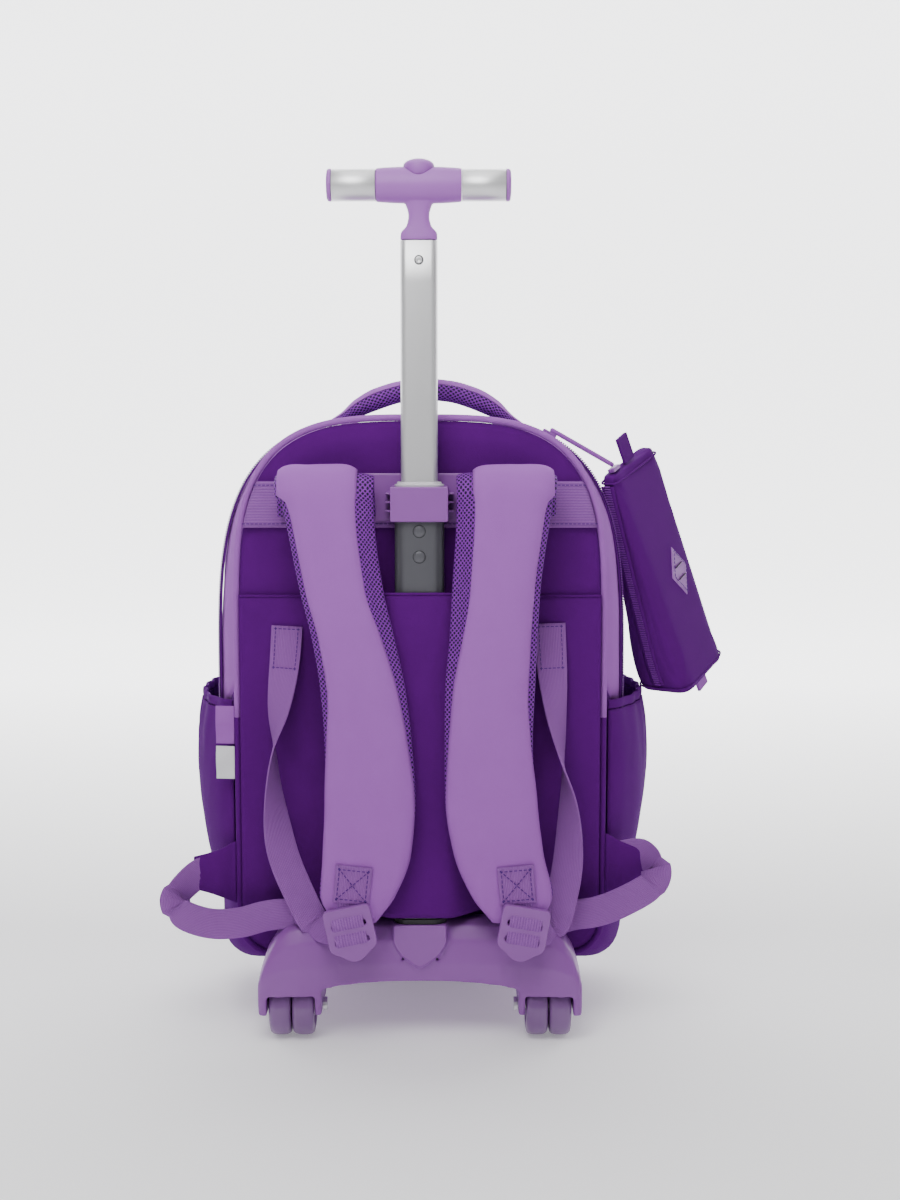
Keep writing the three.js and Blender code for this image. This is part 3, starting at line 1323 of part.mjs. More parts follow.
function pouchRing(alongShare, inset) {
  const s = row(POUCH_SECTIONS, "along", alongShare);
  const [a, b] = [(s.side * POUCH_SIDE) / 2 - inset, (s.face * POUCH_FACE) / 2 - inset];
  const middle = pouchPoint(alongShare, 0.5, 0.5);
  return roundedSquare(16, 5).map(([u, v]) =>
    middle.clone().addScaledVector(POUCH_INWARD, u * a).addScaledVector(POUCH_ACROSS, v * b),
  );
}

/** Frame for a box laid in the case: along it, into its side and across its face. */
function inPouchFrame(geometry, middle) {
  const across = POUCH_ACROSS.clone();
  const inward = across.clone().cross(POUCH_AXIS).normalize();
  across.crossVectors(POUCH_AXIS, inward).normalize();
  const basis = new THREE.Matrix4().makeBasis(POUCH_AXIS, inward, across);
  return geometry.applyMatrix4(basis.setPosition(middle));
}

const ZIP_FROM = 0.14;
const ZIP_TO = 0.9;

function pouchZipBox(offset, thick, lift) {
  const length = (ZIP_TO - ZIP_FROM) * POUCH_LENGTH + 2 * offset;
  const width = POUCH_ZIP_SLOT + 2 * offset;
  const middle = pouchPoint((ZIP_FROM + ZIP_TO) / 2, 0.5, 0).addScaledVector(POUCH_ACROSS, lift);
  return inPouchFrame(new THREE.BoxGeometry(length, width, thick), middle);
}

/** Cloth of the pencil case, hollow, with a slot where its zip lies. */
function pouchShell() {
  const shares = POUCH_SECTIONS.map((s) => s.along);
  const inner = shares.map((a) => pouchRing(mix(0.012, 0.988, a), POUCH_WALL));
  const outer = loft(shares.map((a) => pouchRing(a, 0)));
  return combine(outer, { cut: [loft(inner), pouchZipBox(0, POUCH_WALL * 6, 0)] });
}

function pouchZip() {
  return pouchZipBox(-GAP, POUCH_WALL, POUCH_WALL / 2 + GAP);
}

/** Flat rubber diamond on the case's outer face. */
function pouchPatch() {
  const shape = new THREE.Shape();
  shape.moveTo(PATCH_LONG / 2, 0);
  shape.lineTo(0, PATCH_WIDE / 2);
  shape.lineTo(-PATCH_LONG / 2, 0);
  shape.lineTo(0, -PATCH_WIDE / 2);
  const patch = new THREE.ExtrudeGeometry(shape, { depth: PATCH_THICK, bevelEnabled: false });
  patch.translate(0, 0, -PATCH_THICK).rotateX(Math.PI / 2);
  const middle = pouchPoint(PATCH_ALONG, 0, PATCH_ACROSS, PATCH_THICK + GAP * 3);
  return inPouchFrame(patch, middle);
}

/** Cloth tab sewn in one end seam of the case. */
function pouchTab(alongShare, faceShare, outward) {
  const tab = new THREE.BoxGeometry(POUCH_TAB_LENGTH, WEBBING_THICK * 1.5, POUCH_TAB_WIDTH);
  const middle = pouchPoint(alongShare, 0.5, faceShare);
  middle.addScaledVector(POUCH_AXIS, outward * (POUCH_TAB_LENGTH / 2 + GAP * 3));
  return inPouchFrame(tab, middle);
}

/** Middle of the case's zip slider, on its top end. */
function pouchSliderPlace() {
  return pouchPoint(0, 0.5, 0.14).addScaledVector(POUCH_AXIS, -(SLIDER_THICK / 2 + 4 * GAP));
}

function pouchSlider() {
  const body = new THREE.BoxGeometry(SLIDER_THICK, SLIDER_WIDTH * 0.7, SLIDER_LENGTH);
  return inPouchFrame(body, pouchSliderPlace());
}

/** Cord loop between the main zip's slider and the pencil case's. */
function pullLoop() {
  const lift = (SLIDER_THICK + LOOP_CORD) / 2 + GAP;
  const start = sliderMiddle().addScaledVector(sliderPlace().normal, lift);
  const end = pouchSliderPlace().addScaledVector(POUCH_AXIS, -lift);
  const middle = start.clone().lerp(end, 0.5);
  const reach = end.clone().sub(start).multiplyScalar(0.5);
  const side = vec(0, LOOP_CORD * 1.6, 0);
  const count = 16;
  const route = Array.from({ length: count }, (_, i) => {
    const angle = (TAU * i) / count;
    const p = middle.clone().addScaledVector(reach, Math.cos(angle));
    return p.addScaledVector(side, Math.sin(angle));
  });
  const up = reach.clone().cross(side).normalize();
  const rings = route.map((p, i) => {
    const forward = route[(i + 1) % count].clone().sub(route[(i + count - 1) % count]).normalize();
    const out = up.clone().cross(forward);
    return Array.from({ length: 6 }, (_, k) => {
      const angle = (TAU * k) / 6;
      const q = p.clone().addScaledVector(out, (LOOP_CORD / 2) * Math.cos(angle));
      return q.addScaledVector(up, (LOOP_CORD / 2) * Math.sin(angle));
    });
  });
  return loft(rings, { looped: true });
}

// Materials

const finish = (color, roughness, metalness = 0) =>
  new THREE.MeshStandardMaterial({ color, roughness, metalness });
const materials = {
  violet: finish(0x4b1486, 0.85),
  lavender: finish(0xb184d6, 0.8),
  mesh: finish(0x6a2aa8, 0.95),
  plastic: finish(0xa877cf, 0.45),
  silver: finish(0xc9c9cb, 0.35, 0.9),
  grey: finish(0x75767a, 0.4, 0.8),
  clear: finish(0xd2d2d4, 0.4),
  black: finish(0x151517, 0.6),
  white: finish(0xf0f0f2, 0.7),
};

const backpack = new THREE.Group();

function add(name, geometry, material) {
  const mesh = new THREE.Mesh(geometry, material);
  mesh.name = name;
  backpack.add(mesh);
}

add("bag_shell", bagShell(), materials.violet);
add("back_panel", backPanel(), materials.violet);
add("back_piping", backPiping(), materials.lavender);
add("main_zip", mainZip(), materials.lavender);
add("main_zip_slider", mainZipSlider(), materials.lavender);
add("cover_panel", coverPanel(), materials.violet);
add("load_band", loadBand(), materials.lavender);
add("bracket_plate", bracketPlate(), materials.plastic);
add("tube_collar", tubeCollar(), materials.plastic);
add("outer_tube", outerTube(), materials.grey);
add("lock_pin_upper", lockPin(LOCK_PIN_UPPER_Z), materials.grey);
add("lock_pin_lower", lockPin(LOCK_PIN_LOWER_Z), materials.grey);
add("middle_tube", ovalTube(MIDDLE_WIDTH, MIDDLE_THICK, MIDDLE_BOTTOM, MIDDLE_TOP), materials.silver);
add("tube_bush", tubeBush(), materials.clear);
add("inner_tube", innerTube(), materials.silver);
add("tube_screw", tubeScrew(), materials.silver);
add("tube_ring", tubeRing(), materials.black);
add("grip_body", gripBody(), materials.plastic);
add("grip_button", gripButton(), materials.plastic);
add("wheel_base", wheelBase(), materials.plastic);
add("front_foot", frontFoot(), materials.plastic);
add("carry_handle", carryHandle(true), materials.lavender);
add("carry_handle_mesh", carryHandle(false), materials.mesh);
add("loop_label", seamLabel(LOOP_LABEL_Z, LOOP_LABEL_HEIGHT), materials.lavender);
add("care_label", seamLabel(CARE_LABEL_Z, CARE_LABEL_HEIGHT), materials.white);
add("pouch_shell", pouchShell(), materials.violet);
add("pouch_zip", pouchZip(), materials.violet);
add("pouch_slider", pouchSlider(), materials.lavender);
add("pouch_patch", pouchPatch(), materials.lavender);
add("pouch_top_tab", pouchTab(0, 0.5, -1), materials.violet);
add("pouch_end_tab", pouchTab(1, 0.75, 1), materials.lavender);
add("pull_loop", pullLoop(), materials.lavender);

const SIDES = [
  { name: "left", side: -1, strap: STRAP_LEFT, tail: TAIL_LEFT, anchor: ANCHOR_LEFT },
  { name: "right", side: 1, strap: STRAP_RIGHT, tail: TAIL_RIGHT, anchor: ANCHOR_RIGHT },
];
for (const { name, side, strap, tail, anchor } of SIDES) {
  add(`strap_pad_${name}`, strapPad(strap), materials.mesh);
  add(`strap_face_${name}`, strapFace(strap), materials.lavender);
  add(`strap_tab_${name}`, strapTab(STRAP_ENDS[name]), materials.lavender);
  add(`strap_buckle_${name}`, strapBuckle(STRAP_ENDS[name]), materials.plastic);
  add(`tail_webbing_${name}`, webbing(tail), materials.lavender);
  add(`anchor_webbing_${name}`, webbing(anchor), materials.lavender);
  add(`anchor_triangle_${name}`, anchorTriangle(side, STRAP_ENDS[name]), materials.violet);
  add(`side_pocket_${name}`, sidePocket(side), materials.violet);
  add(`pocket_hem_${name}`, pocketHem(side), materials.violet);
  add(`grip_sleeve_${name}`, gripSleeve(side), materials.silver);
  add(`grip_cap_${name}`, gripCap(side), materials.plastic);
  add(`wheel_axle_${name}`, wheelAxle(side), materials.silver);
  const innerX = WELL_INNER + WHEEL_GAP + WHEEL_WIDTH / 2;
  add(`wheel_${name}_inner`, wheel(side * innerX), materials.plastic);
  add(`wheel_${name}_outer`, wheel(side * (innerX + WHEEL_WIDTH + WHEEL_GAP)), materials.plastic);
}

export default backpack;
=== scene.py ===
"""Wheeled backpack: cloth, webbing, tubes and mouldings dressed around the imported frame.

Metres, Z up, X to the right as seen from the strap side, Y from the straps towards the bag's front.
"""

from __future__ import annotations

import json
import logging
import math
from dataclasses import dataclass
from enum import Enum
from typing import Callable, Sequence

import bmesh
import bpy
from mathutils import Matrix, Vector, noise

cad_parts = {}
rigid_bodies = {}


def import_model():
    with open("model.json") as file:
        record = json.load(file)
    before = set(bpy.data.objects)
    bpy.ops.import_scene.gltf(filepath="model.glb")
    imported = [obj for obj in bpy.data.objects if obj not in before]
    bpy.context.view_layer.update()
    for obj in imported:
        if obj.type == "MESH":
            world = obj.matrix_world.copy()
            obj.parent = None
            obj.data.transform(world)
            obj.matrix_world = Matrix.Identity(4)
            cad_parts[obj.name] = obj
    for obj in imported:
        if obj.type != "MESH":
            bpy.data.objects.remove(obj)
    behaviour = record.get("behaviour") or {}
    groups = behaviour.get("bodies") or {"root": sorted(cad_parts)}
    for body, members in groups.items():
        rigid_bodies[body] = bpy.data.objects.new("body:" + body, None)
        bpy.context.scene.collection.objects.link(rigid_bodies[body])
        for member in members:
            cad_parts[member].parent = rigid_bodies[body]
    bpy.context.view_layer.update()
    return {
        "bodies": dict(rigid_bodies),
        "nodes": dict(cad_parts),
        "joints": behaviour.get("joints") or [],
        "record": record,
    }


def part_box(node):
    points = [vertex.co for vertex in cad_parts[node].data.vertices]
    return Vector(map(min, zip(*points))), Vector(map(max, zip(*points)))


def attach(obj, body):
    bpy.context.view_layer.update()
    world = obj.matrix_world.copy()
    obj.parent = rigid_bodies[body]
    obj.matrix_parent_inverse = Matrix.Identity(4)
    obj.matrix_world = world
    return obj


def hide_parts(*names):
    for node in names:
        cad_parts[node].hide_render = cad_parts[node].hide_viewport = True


log = logging.getLogger("backpack")

Grid = list[list[Vector]]
Table = Sequence[dict[str, float]]
Colour = tuple[float, float, float]

TAU = 2 * math.pi
GAP = 0.0003
CORNER_RADIUS = 0.026
CROWN_POWER = 3.4


class Turn(Enum):
    """How a repeated bar lies on its path."""

    ALONG = "along"
    FIXED = "fixed"


# The bag's sections from the panel's rim to the front, as shares of the bag's depth, width and height.
BAG_SECTIONS: Table = (
    {"depth": 0.0, "swell": 0.0, "sink": 0.0, "round": 0.0, "drop": 0.0},
    {"depth": 0.09, "swell": 0.45, "sink": 0.5, "round": 0.55, "drop": 0.0},
    {"depth": 0.25, "swell": 0.84, "sink": 0.88, "round": 0.9, "drop": 0.0},
    {"depth": 0.48, "swell": 1.0, "sink": 1.0, "round": 1.0, "drop": 0.002},
    {"depth": 0.7, "swell": 0.95, "sink": 1.0, "round": 1.0, "drop": 0.01},
    {"depth": 0.86, "swell": 0.7, "sink": 0.85, "round": 1.0, "drop": 0.03},
    {"depth": 0.95, "swell": 0.25, "sink": 0.4, "round": 1.0, "drop": 0.065},
    {"depth": 1.0, "swell": -0.4, "sink": -0.2, "round": 1.0, "drop": 0.12},
)

# Dents of the gusset: side, depth and height as shares of the bag, spread and hollow in metres.
GUSSET_DENTS: Table = (
    {"side": -1, "depth": 0.35, "height": 0.66, "spread": 0.022, "hollow": 0.0024},
    {"side": 1, "depth": 0.4, "height": 0.7, "spread": 0.024, "hollow": 0.0028},
    {"side": -1, "depth": 0.62, "height": 0.78, "spread": 0.026, "hollow": 0.0032},
    {"side": 1, "depth": 0.66, "height": 0.5, "spread": 0.024, "hollow": 0.0026},
)

# Creases of the back panel: middle across and height as shares, tilt, half length as a share, spread and hollow.
PANEL_CREASES: Table = (
    {"across": -0.72, "height": 0.772, "tilt": -0.3, "reach": 0.26, "spread": 0.0042, "hollow": 0.0022},
    {"across": -0.8, "height": 0.742, "tilt": 0.22, "reach": 0.2, "spread": 0.005, "hollow": 0.002},
    {"across": -0.6, "height": 0.712, "tilt": 0.1, "reach": 0.3, "spread": 0.006, "hollow": 0.0016},
    {"across": 0.75, "height": 0.735, "tilt": -0.08, "reach": 0.26, "spread": 0.006, "hollow": 0.0016},
    {"across": 0.0, "height": 0.88, "tilt": 0.02, "reach": 0.9, "spread": 0.011, "hollow": 0.0014},
    {"across": 0.0, "height": 0.045, "tilt": 0.01, "reach": 1.0, "spread": 0.009, "hollow": 0.0018},
)

# Hanging stretch of each strap: height and edges as shares of the panel, and the bare strips of padding.
STRAP_LEFT: Table = (
    {"height": 0.094, "left": -0.465, "right": -0.227, "bare_left": 0.01, "bare_right": 0.015},
    {"height": 0.14, "left": -0.54, "right": -0.125, "bare_left": 0.01, "bare_right": 0.015},
    {"height": 0.22, "left": -0.528, "right": -0.035, "bare_left": 0.01, "bare_right": 0.015},
    {"height": 0.318, "left": -0.516, "right": -0.01, "bare_left": 0.01, "bare_right": 0.02},
    {"height": 0.428, "left": -0.523, "right": -0.03, "bare_left": 0.03, "bare_right": 0.04},
    {"height": 0.518, "left": -0.543, "right": -0.062, "bare_left": 0.055, "bare_right": 0.06},
    {"height": 0.608, "left": -0.585, "right": -0.117, "bare_left": 0.055, "bare_right": 0.085},
    {"height": 0.7, "left": -0.65, "right": -0.18, "bare_left": 0.05, "bare_right": 0.11},
    {"height": 0.826, "left": -0.722, "right": -0.227, "bare_left": 0.05, "bare_right": 0.11},
    {"height": 0.9, "left": -0.77, "right": -0.235, "bare_left": 0.02, "bare_right": 0.1},
)
STRAP_RIGHT: Table = (
    {"height": 0.094, "left": 0.385, "right": 0.653, "bare_left": 0.015, "bare_right": 0.01},
    {"height": 0.14, "left": 0.275, "right": 0.722, "bare_left": 0.015, "bare_right": 0.01},
    {"height": 0.22, "left": 0.175, "right": 0.675, "bare_left": 0.015, "bare_right": 0.01},
    {"height": 0.318, "left": 0.127, "right": 0.64, "bare_left": 0.02, "bare_right": 0.01},
    {"height": 0.428, "left": 0.124, "right": 0.622, "bare_left": 0.04, "bare_right": 0.03},
    {"height": 0.518, "left": 0.127, "right": 0.633, "bare_left": 0.06, "bare_right": 0.055},
    {"height": 0.608, "left": 0.15, "right": 0.645, "bare_left": 0.085, "bare_right": 0.055},
    {"height": 0.7, "left": 0.165, "right": 0.66, "bare_left": 0.11, "bare_right": 0.05},
    {"height": 0.826, "left": 0.188, "right": 0.708, "bare_left": 0.11, "bare_right": 0.05},
    {"height": 0.9, "left": 0.192, "right": 0.735, "bare_left": 0.1, "bare_right": 0.02},
)

# Webbing routes: across and height as shares of the panel, out as a share of the straps' standoff, turn in degrees.
TAIL_LEFT: Table = (
    {"across": -0.732, "height": 0.623, "out": 0.1, "turn": 0},
    {"across": -0.745, "height": 0.55, "out": 0.3, "turn": 15},
    {"across": -0.775, "height": 0.47, "out": 0.48, "turn": 45},
    {"across": -0.8, "height": 0.4, "out": 0.58, "turn": 88},
    {"across": -0.8, "height": 0.31, "out": 0.62, "turn": 120},
    {"across": -0.755, "height": 0.21, "out": 0.68, "turn": 160},
    {"across": -0.65, "height": 0.125, "out": 0.8, "turn": 180},
    {"across": -0.57, "height": 0.08, "out": 0.9, "turn": 180},
    {"across": -0.475, "height": 0.07, "out": 1.2, "turn": 176},
)
TAIL_RIGHT: Table = (
    {"across": 0.715, "height": 0.628, "out": 0.1, "turn": 0},
    {"across": 0.725, "height": 0.55, "out": 0.3, "turn": -15},
    {"across": 0.745, "height": 0.47, "out": 0.46, "turn": -45},
    {"across": 0.78, "height": 0.385, "out": 0.56, "turn": -80},
    {"across": 0.815, "height": 0.3, "out": 0.62, "turn": -120},
    {"across": 0.815, "height": 0.2, "out": 0.68, "turn": -155},
    {"across": 0.775, "height": 0.12, "out": 0.8, "turn": -180},
    {"across": 0.73, "height": 0.075, "out": 0.86, "turn": -180},
    {"across": 0.655, "height": 0.066, "out": 1.18, "turn": -176},
)
ANCHOR_LEFT: Table = (
    {"across": -1.13, "height": 0.165, "out": -0.035, "turn": 0},
    {"across": -1.25, "height": 0.15, "out": 0.03, "turn": 0},
    {"across": -1.34, "height": 0.125, "out": 0.24, "turn": 0},
    {"across": -1.365, "height": 0.105, "out": 0.38, "turn": 0},
    {"across": -1.31, "height": 0.085, "out": 0.5, "turn": 0},
    {"across": -1.16, "height": 0.07, "out": 0.54, "turn": 0},
    {"across": -1.0, "height": 0.072, "out": 0.54, "turn": 0},
    {"across": -0.85, "height": 0.085, "out": 0.54, "turn": 0},
    {"across": -0.7, "height": 0.09, "out": 0.62, "turn": 0},
    {"across": -0.56, "height": 0.076, "out": 0.74, "turn": 0},
    {"across": -0.46, "height": 0.06, "out": 0.92, "turn": 0},
)
ANCHOR_RIGHT: Table = (
    {"across": 1.12, "height": 0.185, "out": -0.035, "turn": 0},
    {"across": 1.24, "height": 0.19, "out": 0.02, "turn": 0},
    {"across": 1.31, "height": 0.17, "out": 0.28, "turn": 0},
    {"across": 1.28, "height": 0.14, "out": 0.42, "turn": 0},
    {"across": 1.12, "height": 0.11, "out": 0.5, "turn": 0},
    {"across": 0.98, "height": 0.092, "out": 0.5, "turn": 0},
    {"across": 0.85, "height": 0.085, "out": 0.5, "turn": 0},
    {"across": 0.74, "height": 0.076, "out": 0.66, "turn": 0},
    {"across": 0.64, "height": 0.062, "out": 0.92, "turn": 0},
)

# Bulge of a side pocket: height and out as shares.
POCKET_SECTIONS: Table = (
    {"height": 0.0, "out": 0.0},
    {"height": 0.12, "out": 0.42},
    {"height": 0.3, "out": 0.72},
    {"height": 0.48, "out": 0.92},
    {"height": 0.66, "out": 1.0},
    {"height": 0.84, "out": 0.92},
    {"height": 1.0, "out": 0.66},
)

# Carry handle from end to end: place along the span, rise and swell as shares.
HANDLE_SECTIONS: Table = (
    {"along": -0.5, "rise": 0.0, "swell": 0.0},
    {"along": -0.42, "rise": 0.16, "swell": 0.3},
    {"along": -0.34, "rise": 0.42, "swell": 0.8},
    {"along": -0.24, "rise": 0.71, "swell": 1.0},
    {"along": -0.12, "rise": 0.93, "swell": 1.0},
    {"along": 0.0, "rise": 1.0, "swell": 1.0},
    {"along": 0.12, "rise": 0.93, "swell": 1.0},
    {"along": 0.24, "rise": 0.71, "swell": 1.0},
    {"along": 0.34, "rise": 0.42, "swell": 0.8},
    {"along": 0.42, "rise": 0.16, "swell": 0.3},
    {"along": 0.5, "rise": 0.0, "swell": 0.0},
)

# Neck of the grip from the tube up, as shares of the tube.
NECK_SECTIONS: Table = (
    {"height": 0.0, "wide": 1.0, "thick": 1.0},
    {"height": 0.14, "wide": 0.98, "thick": 1.0},
    {"height": 0.3, "wide": 0.66, "thick": 0.98},
    {"height": 0.5, "wide": 0.56, "thick": 1.0},
    {"height": 0.72, "wide": 0.7, "thick": 1.15},
    {"height": 1.0, "wide": 1.15, "thick": 1.4},
)

# Pencil case from its top end: widths of its side and face as shares.
POUCH_SECTIONS: Table = (
    {"along": 0.0, "side": 0.26, "face": 0.94},
    {"along": 0.06, "side": 0.32, "face": 1.0},
    {"along": 0.3, "side": 0.52, "face": 1.02},
    {"along": 0.6, "side": 0.76, "face": 1.03},
    {"along": 0.94, "side": 0.99, "face": 1.02},
    {"along": 1.0, "side": 0.97, "face": 0.98},
)


# Numbers and points


def mix(a: float, b: float, t: float) -> float:
    """Value between a and b."""
    return a + (b - a) * t


def clamp(v: float, low: float = 0.0, high: float = 1.0) -> float:
    """Value held between two limits."""
    return min(high, max(low, v))


def smooth(t: float) -> float:
    """Ease in and out."""
    return t * t * (3 - 2 * t)


def bell(v: float, spread: float) -> float:
    """Rounded bump of height 1."""
    return math.exp(-(v * v) / (2 * spread * spread))


def ripple(p: Vector, scale: float, seed: float = 0.0) -> float:
    """Soft cloth unevenness, about -1 to 1.

    Args:
        p: place in metres.
        scale: size of the ripples in metres.
        seed: moves the pattern.

    Returns:
        Height of the unevenness.
    """
    q = p / scale + Vector((seed, seed * 1.7, -seed))
    return noise.fractal(q, 1.0, 2.1, 3)


def row(table: Table, key: str, at: float) -> dict[str, float]:
    """Values of a table's columns at a place along its key column, on a smooth curve through its rows.

    Args:
        table: rows in rising order of the key column.
        key: name of that column.
        at: place along it.

    Returns:
        A row of mixed values.
    """
    keys = [r[key] for r in table]
    i = 0
    while i < len(table) - 2 and keys[i + 1] < at:
        i += 1
    span = keys[i + 1] - keys[i]
    t = clamp((at - keys[i]) / span)
    found = {}
    for name in table[0]:
        values = [r[name] for r in table]
        slopes = [(values[k + 1] - values[k]) / (keys[k + 1] - keys[k]) for k in range(len(table) - 1)]

        def tangent(k: int) -> float:
            """Slope of the curve at row k, flat at a turning point."""
            if k == 0 or k == len(table) - 1:
                return slopes[min(k, len(slopes) - 1)]
            before, after = slopes[k - 1], slopes[k]
            if before * after <= 0:
                return 0.0
            return 2 * before * after / (before + after)

        t2, t3 = t * t, t * t * t
        found[name] = (
            (2 * t3 - 3 * t2 + 1) * values[i]
            + (t3 - 2 * t2 + t) * span * tangent(i)
            + (3 * t2 - 2 * t3) * values[i + 1]
            + (t3 - t2) * span * tangent(i + 1)
        )
    return found


def spline(points: Sequence[Vector], steps: int) -> list[Vector]:
    """Evenly counted points on a Catmull-Rom curve.

    Args:
        points: points that the curve passes through.
        steps: spans in the result.

    Returns:
        steps + 1 points.
    """
    out = []
    last = len(points) - 1
    for k in range(steps + 1):
        at = k * last / steps
        i = min(int(at), last - 1)
        t = at - i
        a, b = points[max(i - 1, 0)], points[i]
        c, d = points[i + 1], points[min(i + 2, last)]
        out.append(
            0.5 * (2 * b + (c - a) * t + (2 * a - 5 * b + 4 * c - d) * t**2 + (3 * b - a - 3 * c + d) * t**3)
        )
    return out


# Meshes


def mesh_object(name: str, points: Sequence[Vector], faces: Sequence[Sequence[int]]) -> bpy.types.Object:
    """New smooth-shaded object.

    Args:
        name: the piece's name.
        points: corners in the row frame.
        faces: corner indices.

    Returns:
        The object, at the origin.
    """
    mesh = bpy.data.meshes.new(name)
    mesh.from_pydata([tuple(p) for p in points], [], [tuple(f) for f in faces])
    mesh.validate()
    mesh.shade_smooth()
    obj = bpy.data.objects.new(name, mesh)
    bpy.context.scene.collection.objects.link(obj)
    return obj


def lengths_along(grid: Grid) -> list[float]:
    """Mean distance of each row of a grid from the first one."""
    total = [0.0]
    for a, b in zip(grid, grid[1:]):
        steps = [(q - p).length for p, q in zip(a, b)]
        total.append(total[-1] + sum(steps) / len(steps))
    return total


def surface(name: str, grid: Grid, wrap: bool = False, caps: bool = False, flip: bool = False) -> bpy.types.Object:
    """Quad surface over a grid of points, with UVs in metres: U along the rows' order, V across.

    Args:
        name: the piece's name.
        grid: rows of equally many points.
        wrap: joins each row's end to its start.
        caps: closes the first and last rows.
        flip: turns the faces over.

    Returns:
        The object.
    """
    count = len(grid[0])
    points = [p for line in grid for p in line]
    spans = count if wrap else count - 1
    faces, uvs = [], []
    us = lengths_along(grid)
    middle = [grid[len(grid) // 2]]
    across = [[middle[0][j % count]] for j in range(count + 1)]
    vs = lengths_along(across)
    for i in range(len(grid) - 1):
        for j in range(spans):
            k = (j + 1) % count
            face = [i * count + j, (i + 1) * count + j, (i + 1) * count + k, i * count + k]
            uv = [(us[i], vs[j]), (us[i + 1], vs[j]), (us[i + 1], vs[j + 1]), (us[i], vs[j + 1])]
            faces.append(face[::-1] if flip else face)
            uvs.append(uv[::-1] if flip else uv)
    if caps:
        last = (len(grid) - 1) * count
        ends = [list(range(count)), [last + j for j in reversed(range(count))]]
        for end in ends:
            faces.append(end[::-1] if flip else end)
            uvs.append([(0.0, 0.0)] * count)
    obj = mesh_object(name, points, faces)
    layer = obj.data.uv_layers.new(name="Cloth")
    flat = [pair for uv in uvs for pair in uv]
    if len(flat) == len(layer.data):
        for loop, pair in zip(layer.data, flat):
            loop.uv = pair
    return obj


def thicken(obj: bpy.types.Object, thickness: float, offset: float = -1.0) -> bpy.types.Object:
    """Gives a sheet its wall; offset -1 grows it inwards, 1 outwards."""
    wall = obj.modifiers.new("Wall", "SOLIDIFY")
    wall.thickness = thickness
    wall.offset = offset
    wall.use_rim = True
    return obj


def refine(obj: bpy.types.Object, levels: int = 1) -> bpy.types.Object:
    """Adds subdivision, the same in view and render."""
    fine = obj.modifiers.new("Fine", "SUBSURF")
    fine.levels = fine.render_levels = levels
    fine.boundary_smooth = "PRESERVE_CORNERS"
    return obj


def bevel(obj: bpy.types.Object, width: float, segments: int = 2) -> bpy.types.Object:
    """Rounds the sharp edges of a hard piece."""
    edge = obj.modifiers.new("Edge", "BEVEL")
    edge.width = width
    edge.segments = segments
    edge.limit_method = "ANGLE"
    edge.angle_limit = math.radians(40)
    edge.harden_normals = False
    return obj


def settled(obj: bpy.types.Object) -> bpy.types.Object:
    """Turns an object with its modifiers into a plain mesh."""
    graph = bpy.context.evaluated_depsgraph_get()
    mesh = bpy.data.meshes.new_from_object(obj.evaluated_get(graph), preserve_all_data_layers=True, depsgraph=graph)
    old = obj.data
    if obj.type == "MESH":
        obj.modifiers.clear()
        obj.data = mesh
        bpy.data.meshes.remove(old)
        return obj
    name = obj.name
    bpy.data.objects.remove(obj)
    fresh = bpy.data.objects.new(name, mesh)
    bpy.context.scene.collection.objects.link(fresh)
    return fresh


def tube(name: str, path: Sequence[Vector], radius: float, sides: int = 12, looped: bool = False,
         squash: float = 1.0) -> bpy.types.Object:
    """Round tube along a path.

    Args:
        name: the piece's name.
        path: points of its middle line.
        radius: its radius.
        sides: sides of its section.
        looped: joins the end to the start.
        squash: thickness of the section as a share of its width.

    Returns:
        The object.
    """
    count = len(path)
    rings: Grid = []
    side = None
    for i, p in enumerate(path):
        ahead = path[(i + 1) % count] if looped else path[min(i + 1, count - 1)]
        behind = path[(i - 1) % count] if looped else path[max(i - 1, 0)]
        forward = (ahead - behind).normalized()
        if side is None:
            side = forward.orthogonal().normalized()
        side = (side - forward * side.dot(forward)).normalized()
        up = forward.cross(side)
        ring = []
        for k in range(sides):
            angle = TAU * k / sides
            ring.append(p + side * radius * math.cos(angle) + up * radius * squash * math.sin(angle))
        rings.append(ring)
    if looped:
        rings.append(best_match(rings[0], rings[-1]))
        obj = surface(name, rings, wrap=True, flip=True)
        weld(obj)
        return obj
    return surface(name, rings, wrap=True, caps=True, flip=True)


def best_match(ring: list[Vector], last: list[Vector]) -> list[Vector]:
    """The first ring's points, started where they lie closest to the last ring."""
    count = len(ring)
    shift = min(range(count), key=lambda s: sum((ring[(s + j) % count] - last[j]).length for j in range(count)))
    return [ring[(shift + j) % count].copy() for j in range(count)]


def weld(obj: bpy.types.Object, distance: float = 1e-5) -> None:
    """Merges doubled corners and turns the faces outwards."""
    bm = bmesh.new()
    bm.from_mesh(obj.data)
    bmesh.ops.remove_doubles(bm, verts=bm.verts, dist=distance)
    bmesh.ops.recalc_face_normals(bm, faces=bm.faces)
    bm.to_mesh(obj.data)
    bm.free()


def lathe(name: str, profile: Sequence[tuple[float, float]], place: Matrix, sides: int = 48) -> bpy.types.Object:
    """Turned piece about its own Z axis.

    Args:
        name: the piece's name.
        profile: radius and height pairs, from the axis or a bore and back.
        place: where the piece goes.
        sides: sides round the axis.

    Returns:
        The object, with its place in its mesh.
    """
    rings: Grid = []
    for k in range(sides):
        angle = TAU * k / sides
        rings.append([place @ Vector((r * math.cos(angle), r * math.sin(angle), z)) for r, z in profile])
    rings.append([p.copy() for p in rings[0]])
    obj = surface(name, rings)
    weld(obj)
    return obj


